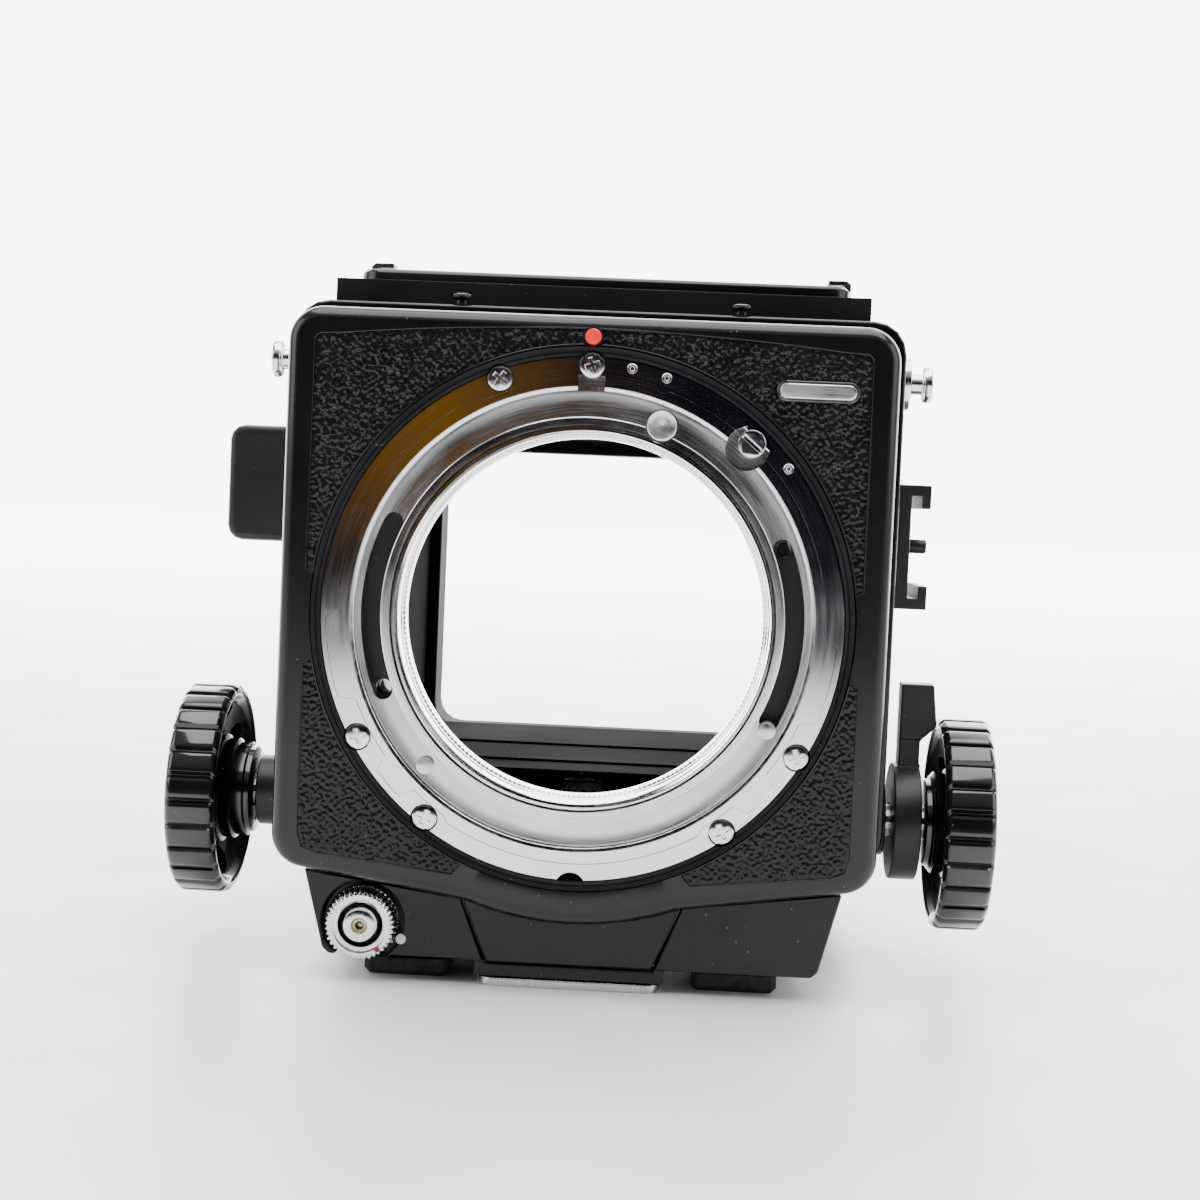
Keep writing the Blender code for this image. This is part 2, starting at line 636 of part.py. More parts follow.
def make_base():
    """The chin and floor, with a channel along it for the focusing carriage."""
    outline = [(-42, BASE_BOTTOM), (42, BASE_BOTTOM), (43.2, BASE_BOTTOM + 1.0), (47.2, -44.3),
               (-47.2, -44.3), (-43.2, BASE_BOTTOM + 1.0)]
    base = front_prism("base_casting", [outline], (7, 100))
    boss_span = (-BOSS_HALF_WIDTH, BOSS_HALF_WIDTH)
    join(base, block("tripod_boss", boss_span, (7.6, 99.4), (BOSS_BOTTOM, BASE_BOTTOM + 2)))
    over = [(-60, -38), (-60, -45.7), (-48, -45.7)]
    over += arc((0, 0), LIP_RADIUS + 0.6, 270 - LIP_HALF_ANGLE, 270 + LIP_HALF_ANGLE, 9)
    over += [(48, -45.7), (60, -45.7), (60, -38)]
    channel = [(-CHANNEL_LOW_HALF, CHANNEL_FLOOR), (CHANNEL_LOW_HALF, CHANNEL_FLOOR),
               (CHANNEL_TOP_HALF, CHANNEL_TOP), (CHANNEL_TOP_HALF, -40), (-CHANNEL_TOP_HALF, -40),
               (-CHANNEL_TOP_HALF, CHANNEL_TOP)]
    front, rear = at(RELEASE_X, 0, RELEASE_UP), at(RELEASE_X, 10, RELEASE_UP)
    low, high = at(0, TRIPOD_HOLE_DEPTH, -70), at(0, TRIPOD_HOLE_DEPTH, CHANNEL_FLOOR - 0.9)
    cut(
        base,
        front_prism("standard_clearance", [over], (0, 23.7)),
        front_prism("carriage_channel", [channel], (0, 101)),
        cylinder("release_pocket", 7.3, front, rear, 32),
        cylinder("release_stem_hole", 2.2, front, at(RELEASE_X, 24, RELEASE_UP), 16),
        cylinder("base_tripod_hole", 5.2, low, high, 24),
    )
    return finish(base, SATIN_BLACK)


def make_tripod_plate():
    outline = rounded((-16.0, 16.0), (8.0, 98.0), 3.0, 4)
    plate = flat_prism("tripod_plate", [outline, circle((0, TRIPOD_HOLE_DEPTH), 4.8, 24)],
                       (-LENS_HEIGHT, TRIPOD_PLATE_TOP))
    return finish(plate, STEEL)


def make_feet():
    feet = []
    for end, span in (("front", (12.0, 25.0)), ("rear", (84.0, 98.0))):
        for name, side in (("left", -1), ("right", 1)):
            x_span = sorted((side * 21.5, side * 36.5))
            foot = block(f"foot_{end}_{name}", x_span, span, (-LENS_HEIGHT, BASE_BOTTOM - GAP))
            feet.append(finish(bevel(foot, 1.0, 1), RUBBER))
    return feet


def make_finder_seat():
    plate = block("finder_front_plate", (-48.7, 48.7), (29.0, 30.6), (BODY_TOP + GAP, 59.0))
    finish(plate, MATTE_BLACK)
    posts = []
    for name, side in (("left", -1), ("right", 1)):
        low = BODY_TOP + GAP
        profile = [(0, 56.6), (1.3, 56.5), (1.8, 55.9), (1.6, 55.5), (1.1, 55.3), (1.1, low), (0, low)]
        matrix = Matrix.Translation(at(side * 25.2, 25.5, 0))
        posts.append(finish(turned(f"finder_post_{name}", profile, matrix, False, 12), SATIN_BLACK))
    outer = rounded((-45.3, 45.3), (33.0, 98.0), 4.0, 4)
    inner = rounded((-37.5, 37.5), (38.0, 93.5), 2.0, 3)
    frame = flat_prism("screen_frame", [outer, inner], (BODY_TOP + GAP, 61.4))
    finish(bevel(frame, 0.8, 1, 50), GLOSS_BLACK)
    screen = block("focusing_screen", (-36.5, 36.5), (36.5, 93.5), (BOX_TOP + GAP, 51.7))
    return [plate, *posts, frame, finish(screen, GLASS)]


def make_finder_catch(name, side):
    """A spring clip that reaches up the outside of the screen frame and hooks over its edge."""
    outline = [(47.0, 55.6), (47.0, 64.4), (46.2, 65.1), (42.6, 65.1), (42.6, 64.2), (45.7, 64.2),
               (45.7, 55.6)]
    catch = front_prism(name, [[(side * x, up) for x, up in outline]], (58.0, 63.0))
    carry(pivot(f"{name}_axis", at(side * 46.4, 60.5, 55.9)), catch)
    return finish(catch, DARK_STEEL)


def make_strap_lug(name, side):
    profile = [(0, 60.9), (3.0, 60.9), (3.45, 60.5), (3.45, 59.5), (3.0, 59.2), (2.0, 59.2), (2.0, 56.8),
               (5.0, 56.5), (5.0, 55.3), (0, 55.3)]
    lug = turned_on_x(name, profile, LUG_CENTRE, False, 24)
    if side < 0:
        lug.matrix_world = Matrix.Rotation(math.pi, 4, "Z") @ lug.matrix_world
        lug.matrix_world.translation = at(0, *LUG_CENTRE)
    return finish(lug, CHROME)


def make_accessory_shoe():
    outline = [(55.3, 3.0), (61.4, 3.0), (61.4, 7.3), (59.8, 7.3), (59.8, 5.0), (57.9, 5.0),
               (57.9, 23.7), (59.8, 23.7), (59.8, 21.4), (61.4, 21.4), (61.4, 25.7), (55.3, 25.7)]
    shoe = front_prism("accessory_shoe", [outline], (30.5, 49.5))
    join(shoe, cylinder("shoe_pin", 1.35, at(56, 40, 14.4), at(61.9, 40, 14.4), 14))
    return finish(shoe, SATIN_BLACK)


def make_guide_rails():
    rails = []
    for name, side in (("left", -1), ("right", 1)):
        rail = cylinder(f"guide_rail_{name}", 1.3, at(side * 15.5, 12, -52), at(side * 15.5, 99.9, -52), 12)
        rails.append(finish(rail, STEEL))
    return rails


# ---------------------------------------------------------------- focusing drive

def make_bushes():
    spans = {"left": (-60.4, -50.3), "right": (50.3, 55.9)}
    bushes = []
    for name, (low, high) in spans.items():
        profile = [(6.5, high), (6.5, low), (SHAFT_BORE, low), (SHAFT_BORE, high)]
        bush = turned_on_x(f"shaft_bush_{name}", profile, (SHAFT_DEPTH, SHAFT_UP), steps=24)
        bushes.append(finish(bush, DARK_STEEL))
    return bushes


def on_side(profile, side):
    """A profile for the right side, turned over for the left."""
    return profile if side > 0 else [(radius, -x) for radius, x in profile[::-1]]


def make_knob(name, side):
    """A ribbed rim round a dished web, with a stepped hub towards the body."""
    centre = (SHAFT_DEPTH, SHAFT_UP)
    outline = []
    step = 360 / KNOB_RIBS
    for rib in range(KNOB_RIBS):
        for radius, share in ((KNOB_RADIUS - 0.8, -0.5), (KNOB_RADIUS, -0.32), (KNOB_RADIUS, 0.32)):
            x, up = polar(radius, (rib + share) * step)
            outline.append((centre[0] + x, centre[1] + up))
    knob = side_prism(name, [outline], sorted((side * KNOB_INNER, side * KNOB_OUTER)))
    dish = [(17.3, 66.4), (17.3, 64.0), (9.0, 64.0), (9.0, 69.0), (12.0, 69.0)]
    outer_dish = [(0, 76.0), (16.0, 76.0), (16.0, 73.9), (6.0, 73.5), (0, 73.5)]
    cut(knob, turned_on_x(f"{name}_dish", on_side(dish, side), centre))
    hub = [(0, 71.0), (8.7, 71.0), (8.7, 64.0), (7.9, 63.1), (0, 63.1)]
    join(knob, turned_on_x(f"{name}_hub", on_side(hub, side), centre, False))
    cut(knob, turned_on_x(f"{name}_face", on_side(outer_dish, side), centre, False))
    start, end = at(side * 60, *centre), at(side * 71.5, *centre)
    cut(knob, cylinder(f"{name}_bore", SHAFT_BORE, start, end, 16))
    return finish(knob, GLOSS_BLACK)


def make_focus_drive():
    centre = (SHAFT_DEPTH, SHAFT_UP)
    shaft = cylinder("focus_shaft", SHAFT_RADIUS, at(-71.2, *centre), at(71.2, *centre), 16)
    finish(shaft, STEEL)
    teeth = [(centre[0] + x, centre[1] + up) for x, up in gear_outline(PINION_TEETH, GEAR_MODULE)]
    bore = circle(centre, SHAFT_BORE, 16)
    pinion = side_prism("focus_pinion", [teeth, bore], (-RACK_HALF_WIDTH + 0.5, RACK_HALF_WIDTH - 0.5))
    finish(pinion, STEEL)
    knobs = [make_knob("focus_knob_left", -1), make_knob("focus_knob_right", 1)]
    carry(pivot("focus_turn_axis", at(0, *centre)), shaft, pinion, *knobs)
    return [shaft, pinion, *knobs]


def make_focus_lock():
    centre = (SHAFT_DEPTH, SHAFT_UP)
    profile = [(LOCK_DISC_RADIUS, 62.0), (LOCK_DISC_RADIUS, 57.0), (SHAFT_BORE, 57.0), (SHAFT_BORE, 62.0)]
    lever = turned_on_x("focus_lock_lever", profile, centre)
    arm = [(32.2, -31), (37.8, -31), (37.6, -10.8), (32.4, -10.8)]
    neck = side_prism("lock_lever_arm", [arm], (58.0, 61.8))
    outline = [(58.0, -10.8), (63.9, -10.8), (64.7, -18.5), (62.1, -21.0), (58.0, -21.0)]
    head = front_prism("lock_lever_head", [outline[::-1]], (32.2, 37.8))
    join(lever, neck, head)
    carry(pivot("focus_lock_axis", at(59.3, *centre)), lever)
    return finish(lever, SATIN_BLACK)


# ---------------------------------------------------------------- release, cocking, mirror, back

def make_release():
    centre = (RELEASE_X, RELEASE_UP)
    collar_profile = [(5.85, 4.3), (5.85, 7.4), (6.4, 7.8), (6.4, 9.7), (3.9, 9.7), (3.9, 4.6), (4.2, 4.3)]
    collar = finish(turned_on_lens("release_collar", collar_profile, centre, steps=32), CHROME)
    carry(pivot("release_lock_axis", at(centre[0], 7, centre[1])), collar)
    button_profile = [(0, 8.0), (1.0, 8.0), (1.0, 3.6), (3.0, 3.6), (3.5, 5.2), (3.5, 6.0), (1.8, 6.0),
                      (1.8, 20.0), (0, 20.0)]
    button = turned_on_lens("release_button", button_profile, centre, False, 24)
    carry(pivot("release_press_axis", at(centre[0], 6, centre[1])), finish(button, CHROME))
    spring = finish(make_spring(centre), STEEL)
    return [collar, button, spring]


def make_spring(centre):
    turns, per_turn, radius = 2.5, 10, 2.75
    front, rear = 6.6, 9.5
    curve = bpy.data.curves.new("release_spring", "CURVE")
    curve.dimensions = "3D"
    curve.bevel_depth = 0.3 * MM
    curve.bevel_resolution = 1
    curve.use_fill_caps = True
    spline = curve.splines.new("POLY")
    count = int(turns * per_turn) + 1
    spline.points.add(count - 1)
    for i, point in enumerate(spline.points):
        x, up = polar(radius, 360 * i / per_turn)
        depth = front + (rear - front) * i / (count - 1)
        point.co = (*at(centre[0] + x, depth, centre[1] + up), 1)
    spring = bpy.data.objects.new("release_spring", curve)
    PARTS.objects.link(spring)
    return spring


def make_cocking_lever():
    depth, up = COCKING_PIVOT
    profile = [(0, -43.5), (3.6, -43.5), (3.6, -55.6), (8.5, -55.6), (8.5, -60.8), (0, -60.8)]
    hub = turned_on_x("cocking_lever", profile, COCKING_PIVOT, False, 28)
    arm_outline = [(depth - 5.5, up), (depth + 5.5, up), (73.0, 10.0), (73.0, 31.0), (66.5, 31.0),
                   (65.5, 12.0)]
    arm = side_prism("cocking_lever_arm", [arm_outline], (-60.8, -57.2))
    pad_outline = rounded((-75.8, -57.4), (9.3, 32.6), 3.0, 4)
    pad = bevel(front_prism("cocking_lever_pad", [pad_outline], (66.0, 73.5)), 1.2, 2)
    join(hub, arm, pad)
    carry(pivot("cocking_stroke_axis", at(-58, *COCKING_PIVOT)), hub)
    return finish(hub, SATIN_BLACK)


def make_mirror():
    depth, up = MIRROR_PIVOT
    holder = block("mirror_holder", (-36.5, 36.5), (15.5, depth), (36.0, 37.4))
    join(holder, cylinder("mirror_rod", 1.5, at(-40.5, depth, up), at(40.5, depth, up), 12))
    finish(holder, MATTE_BLACK)
    glass = finish(block("mirror_glass", (-35.5, 35.5), (16.5, 94.5), (37.7, 39.9)), MIRROR)
    carry(pivot("mirror_flip_axis", at(0, depth, up)), holder, glass)
    flap_depth, flap_up = FLAP_PIVOT
    flap = block("capping_flap", (-36.0, 36.0), (36.5, flap_depth), (33.0, 34.2))
    join(flap, cylinder("flap_rod", 1.0, at(-40.5, flap_depth, flap_up), at(40.5, flap_depth, flap_up), 10))
    carry(pivot("flap_swing_axis", at(0, flap_depth, flap_up)), flap)
    return [holder, glass, finish(flap, MATTE_BLACK)]


def make_revolving_back():
    gate = rounded((-GATE_HALF_WIDTH, GATE_HALF_WIDTH), (-GATE_HALF_HEIGHT, GATE_HALF_HEIGHT), 5, 5)
    adapter = front_prism("revolving_adapter", [rounded((-47, 47), (-44, 44), 12, 6), gate], (104.4, 112.5))
    join(adapter, front_prism("adapter_spigot", [circle((0, 0), 45.6), gate], (100.8, 105.5)))
    finish(adapter, SATIN_BLACK)
    locks = []
    for name, side in (("left", -1), ("right", 1)):
        x_span = sorted((side * 38.5, side * 43.0))
        lock = block(f"back_lock_slide_{name}", x_span, (112.8, 116.0), (-24, 24))
        finish(bevel(lock, 0.6, 1), DARK_STEEL)
        carry(pivot(f"back_lock_{name}_axis", at(side * 40.7, 114.4, 0)), lock)
        locks.append(lock)
    return [adapter, *locks]


def build():
    front = [make_front_plate(), *make_leathers(), make_bezel(), make_flange(), make_throat()]
    front += [*make_mount_screws(), *make_carriage()]
    ring = make_cocking_ring()
    pin = make_shutter_pin()
    standard = pivot("focus_slide_axis", at(0, 0, 0))
    carry(standard, *front)
    carry(pivot("cocking_ring_axis", at(0, 7, 0)), ring)
    x, up = polar(PIN_CIRCLE, PIN_ANGLE)
    carry(pivot("shutter_pin_axis", at(x, 1, up)), pin)
    make_bellows()
    make_front_frame()
    make_mirror_box()
    make_side_covers()
    make_top_deck()
    make_rear_frame()
    make_base()
    make_tripod_plate()
    make_feet()
    make_finder_seat()
    make_finder_catch("finder_catch_left", -1)
    make_finder_catch("finder_catch_right", 1)
    make_strap_lug("strap_lug_left", -1)
    make_strap_lug("strap_lug_right", 1)
    make_accessory_shoe()
    make_guide_rails()
    make_bushes()
    make_focus_drive()
    make_focus_lock()
    make_release()
    make_cocking_lever()
    make_mirror()
    make_revolving_back()


build()
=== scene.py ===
import math

import bmesh
import bpy
import numpy as np
from mathutils import Matrix, Vector
from mathutils.geometry import delaunay_2d_cdt


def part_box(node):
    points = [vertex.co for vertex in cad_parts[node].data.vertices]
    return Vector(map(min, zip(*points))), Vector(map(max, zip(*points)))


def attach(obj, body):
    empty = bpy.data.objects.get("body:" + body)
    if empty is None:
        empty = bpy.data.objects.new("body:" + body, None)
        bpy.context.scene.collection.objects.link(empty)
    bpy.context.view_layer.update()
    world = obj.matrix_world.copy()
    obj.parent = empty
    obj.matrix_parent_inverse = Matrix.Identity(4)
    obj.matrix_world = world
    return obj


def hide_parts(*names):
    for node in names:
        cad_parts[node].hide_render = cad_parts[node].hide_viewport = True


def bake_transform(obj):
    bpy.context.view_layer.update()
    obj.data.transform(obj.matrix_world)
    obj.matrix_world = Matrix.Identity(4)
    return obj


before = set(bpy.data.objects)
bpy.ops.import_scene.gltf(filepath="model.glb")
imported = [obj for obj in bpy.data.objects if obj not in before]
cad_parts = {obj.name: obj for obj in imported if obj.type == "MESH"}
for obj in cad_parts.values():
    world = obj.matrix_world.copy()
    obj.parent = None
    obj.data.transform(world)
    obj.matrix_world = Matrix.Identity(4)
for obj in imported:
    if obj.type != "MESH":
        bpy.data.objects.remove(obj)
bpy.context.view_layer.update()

# Looks of a bare medium-format reflex camera body. Sizes are millimetres in the camera's own terms:
# x to the right as seen from the front, depth rearwards from the mount's front plane, up from the
# lens axis. at() turns them into the frame's metres.

MM = 0.001
BEZEL_LOW, BEZEL_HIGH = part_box("bezel_ring")
LENS_X = (BEZEL_LOW.x + BEZEL_HIGH.x) / 2
LENS_Z = (BEZEL_LOW.z + BEZEL_HIGH.z) / 2
FRONT_Y = BEZEL_LOW.y

# Lens mount
BEZEL_RADIUS = 46.2
RING_RADIUS = 44.4
STEP_RADIUS = 39.3
INNER_RADIUS = 32.9
SEAT_RADIUS = 42.9
SCREW_CIRCLE = 43.2
SCREW_RADIUS = 2.2
SCREW_ANGLES = (90.0, 111.0, 210.0, 234.0, 306.0, 330.0)
SCREW_TURNS = (20.0, -35.0, 15.0, -25.0, 28.0, 15.0)
SLOT_RADII = (34.5, 37.8)
SLOT_ARCS = ((155.0, 202.0), (-26.0, 22.0))
PIN_CIRCLE, PIN_ANGLE, PIN_RADIUS = 35.6, 70.0, 2.6
FIXED_PINS = ((36.6, 225.4), (36.6, 331.8))
PORT_CIRCLE, PORT_ANGLE, PORT_RADIUS = 40.3, 48.5, 3.7
RIVET_CIRCLE, RIVET_ANGLES = 43.3, (81.0, 73.0, 38.7)
# Where the retaining ring's inner edge steps in and out: from this angle, at this radius
RING_EDGE = (
    (-3.0, 41.3), (72.0, 40.6), (74.5, 41.6), (105.0, 40.7), (117.0, 41.6), (181.0, 43.6), (201.0, 40.8),
    (218.0, 43.4), (227.0, 40.8), (238.0, 41.6), (302.0, 40.8), (312.5, 43.3), (322.0, 40.8), (338.0, 43.4),
    (357.0, 41.3)
)

# Front standard
PLATE_HALF_WIDTH, PLATE_TOP, PLATE_CORNER, PLATE_LOW_CORNER = 52.0, 51.5, 6.0, -38.9
PLATE_FRONT, PLATE_REAR = 1.2, 22.0
LIP_RADIUS, LIP_HALF_ANGLE = 52.3, 20.0
LEATHER_HALF_WIDTH, LEATHER_TOP = 47.4, (46.6, 49.3)
LEATHER_TIPS = (6.0, -8.5)
LEATHER_RECESS = 0.9
LEATHER_GRAIN = 0.3

# Knobs and release
SHAFT_DEPTH, SHAFT_UP = 35.0, -36.5
KNOB_RADIUS, KNOB_RIBS = 19.5, 26
KNOB_RIM_INNER, LEFT_HUB_INNER = 65.2, 61.2
RELEASE_X, RELEASE_UP = -36.3, -54.8
COLLAR_TEETH = 40

# Depth and height of the strap lugs and of the cocking lever's axis
LUG_CENTRE = (35.0, 44.2)
COCKING_AXIS = (62.0, -6.0)
# Height of the alignment dot, and the folds of the bellows with the depths they lie between
DOT_HEIGHT = 47.85
BELLOWS_FOLDS, BELLOWS_FRONT, BELLOWS_REAR = 9, 12.6, 28.0

FRONT_FACING = Matrix.Rotation(math.radians(90), 4, "X")
SIDE_FACING = Matrix.Rotation(math.radians(90), 4, "Z") @ Matrix.Rotation(math.radians(90), 4, "X")
ALONG_X = Matrix.Rotation(math.radians(90), 4, "Y")
LAMP_DIRECTION = (-0.125, -0.99, 0.035)
LOOKS = {}


def at(x, depth, up):
    return Vector((LENS_X + x * MM, FRONT_Y + depth * MM, LENS_Z + up * MM))


# Node materials

def new_look(name, roughness=0.4, metallic=0.0):
    material = bpy.data.materials.new(name)
    material.use_nodes = True
    shader = material.node_tree.nodes["Principled BSDF"]
    shader.inputs["Roughness"].default_value = roughness
    shader.inputs["Metallic"].default_value = metallic
    LOOKS[name] = material
    return material.node_tree, shader


def add_node(tree, kind, inputs=(), **settings):
    made = tree.nodes.new(kind)
    for key, value in settings.items():
        setattr(made, key, value)
    for key, value in dict(inputs).items():
        if isinstance(value, bpy.types.NodeSocket):
            tree.links.new(value, made.inputs[key])
        else:
            made.inputs[key].default_value = value
    return made


def place(tree, scale=(1, 1, 1)):
    """The point on the piece, stretched."""
    spot = add_node(tree, "ShaderNodeTexCoord")
    return add_node(tree, "ShaderNodeMapping", {"Vector": spot.outputs["Object"], "Scale": scale}).outputs[0]


def round_lens(tree, along=2.0, across=900.0):
    """The point in turns round the lens axis and distance from it, for marks a lathe leaves."""
    spot = add_node(tree, "ShaderNodeTexCoord")
    apart = add_node(tree, "ShaderNodeSeparateXYZ", {0: spot.outputs["Object"]})
    x = add_node(tree, "ShaderNodeMath", {0: apart.outputs["X"], 1: LENS_X}, operation="SUBTRACT").outputs[0]
    z = add_node(tree, "ShaderNodeMath", {0: apart.outputs["Z"], 1: LENS_Z}, operation="SUBTRACT").outputs[0]
    flat = add_node(tree, "ShaderNodeCombineXYZ", {"X": x, "Y": z})
    far = add_node(tree, "ShaderNodeVectorMath", {0: flat.outputs[0]}, operation="LENGTH").outputs["Value"]
    turn = add_node(tree, "ShaderNodeMath", {0: z, 1: x}, operation="ARCTAN2").outputs[0]
    turn = add_node(tree, "ShaderNodeMath", {0: turn, 1: along}, operation="MULTIPLY").outputs[0]
    far = add_node(tree, "ShaderNodeMath", {0: far, 1: across}, operation="MULTIPLY").outputs[0]
    return add_node(tree, "ShaderNodeCombineXYZ", {"X": turn, "Y": far}).outputs[0]


def feed(tree, shader, colour, roughness):
    tree.links.new(colour, shader.inputs["Base Color"])
    tree.links.new(roughness, shader.inputs["Roughness"])


def grain(tree, scale, detail=2.0, vector=None):
    inputs = {"Vector": vector or place(tree), "Scale": scale, "Detail": detail}
    return add_node(tree, "ShaderNodeTexNoise", inputs).outputs["Fac"]


def spread(tree, value, low, high, start=0.3, end=0.7):
    inputs = {"Value": value, "From Min": start, "From Max": end, "To Min": low, "To Max": high}
    return add_node(tree, "ShaderNodeMapRange", inputs).outputs["Result"]


def shade(tree, value, low, high, start=0.3, end=0.7):
    ramp = add_node(tree, "ShaderNodeValToRGB", {"Fac": value})
    ramp.color_ramp.elements[0].position = start
    ramp.color_ramp.elements[1].position = end
    ramp.color_ramp.elements[0].color = (*low, 1)
    ramp.color_ramp.elements[1].color = (*high, 1)
    return ramp.outputs["Color"]


def bump(tree, shader, height, depth, strength=1.0):
    inputs = {"Height": height, "Distance": depth * MM, "Strength": strength}
    made = add_node(tree, "ShaderNodeBump", inputs)
    tree.links.new(made.outputs["Normal"], shader.inputs["Normal"])


def painted(name, dark, light, rough, peel, shine=0.5, coat=0.0, peel_scale=2500.0):
    """Black lacquer: a slightly uneven shine, a fine orange peel and a few bright specks of dust."""
    tree, shader = new_look(name)
    cloud = grain(tree, 60.0, 3.0)
    specks = grain(tree, 1400.0, 0.0)
    tone = shade(tree, cloud, dark, light)
    dust = spread(tree, specks, 0.0, 0.3, 0.85, 0.89)
    dusty = add_node(tree, "ShaderNodeMix", {"Factor": dust}, data_type="RGBA")
    tree.links.new(tone, dusty.inputs[6])
    dusty.inputs[7].default_value = (0.3, 0.3, 0.3, 1)
    feed(tree, shader, dusty.outputs[2], spread(tree, grain(tree, 25.0, 4.0), *rough))
    shader.inputs["Specular IOR Level"].default_value = shine
    shader.inputs["Coat Weight"].default_value = coat
    shader.inputs["Coat Roughness"].default_value = 0.08
    bump(tree, shader, grain(tree, peel_scale, 2.0), peel)


def metal(name, dark, light, rough, marks=None, depth=0.004):
    """Bare or plated metal; marks gives the vector that the tool marks follow."""
    tree, shader = new_look(name, metallic=1.0)
    vector = marks(tree) if marks else place(tree)
    scale = 1.0 if marks else 900.0
    streaks = grain(tree, scale, 4.0, vector)
    tree.links.new(shade(tree, streaks, dark, light), shader.inputs["Base Color"])
    smudge = grain(tree, 90.0, 3.0)
    both = add_node(tree, "ShaderNodeMath", {0: streaks, 1: smudge}, operation="ADD").outputs[0]
    tree.links.new(spread(tree, both, *rough, 0.75, 1.25), shader.inputs["Roughness"])
    bump(tree, shader, streaks, depth)


def leather_look():
    tree, shader = new_look("leather")
    shader.inputs["Specular IOR Level"].default_value = 0.3
    pores = grain(tree, 2600.0, 3.0)
    patches = grain(tree, 120.0, 3.0)
    feed(
        tree, shader, shade(tree, patches, (0.003, 0.003, 0.004), (0.007, 0.007, 0.008)),
        spread(tree, pores, 0.16, 0.32)
    )
    bump(tree, shader, pores, 0.02)


def cloth_look():
    tree, shader = new_look("bellows_cloth")
    weave = add_node(tree, "ShaderNodeTexWave", {"Vector": place(tree), "Scale": 900.0, "Distortion": 1.5})
    feed(
        tree, shader, shade(tree, grain(tree, 300.0), (0.008, 0.008, 0.009), (0.02, 0.02, 0.021)),
        spread(tree, grain(tree, 500.0), 0.6, 0.85)
    )
    bump(tree, shader, weave.outputs["Fac"], 0.03)


def rubber_look():
    tree, shader = new_look("rubber")
    feed(
        tree, shader, shade(tree, grain(tree, 800.0), (0.012, 0.012, 0.012), (0.03, 0.03, 0.03)),
        spread(tree, grain(tree, 300.0), 0.7, 0.95)
    )
    bump(tree, shader, grain(tree, 3000.0), 0.03)


def screen_look():
    """Ground glass with the fine rings of a Fresnel lens."""
    tree, shader = new_look("ground_glass")
    middle = (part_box("focusing_screen")[0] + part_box("focusing_screen")[1]) / 2
    spot = add_node(tree, "ShaderNodeTexCoord").outputs["Object"]
    offset = add_node(tree, "ShaderNodeVectorMath", {0: spot, 1: middle}, operation="SUBTRACT").outputs[0]
    rings = add_node(
        tree, "ShaderNodeTexWave", {"Vector": offset, "Scale": 500.0}, wave_type="RINGS",
        rings_direction="Z"
    )
    feed(
        tree, shader, shade(tree, grain(tree, 2500.0), (0.50, 0.53, 0.52), (0.66, 0.69, 0.67)),
        spread(tree, grain(tree, 1800.0), 0.28, 0.5)
    )
    shader.inputs["Transmission Weight"].default_value = 0.55
    shader.inputs["IOR"].default_value = 1.5
    bump(tree, shader, rings.outputs["Fac"], 0.02)


def mirror_look():
    tree, shader = new_look("mirror", metallic=1.0)
    haze = grain(tree, 40.0, 4.0)
    feed(
        tree, shader, shade(tree, haze, (0.83, 0.84, 0.85), (0.93, 0.94, 0.95)),
        spread(tree, grain(tree, 1500.0), 0.02, 0.07, 0.6, 0.8)
    )


def plain_colour(name, dark, light, rough):
    tree, shader = new_look(name)
    feed(tree, shader, shade(tree, grain(tree, 700.0), dark, light), spread(tree, grain(tree, 400.0), *rough))


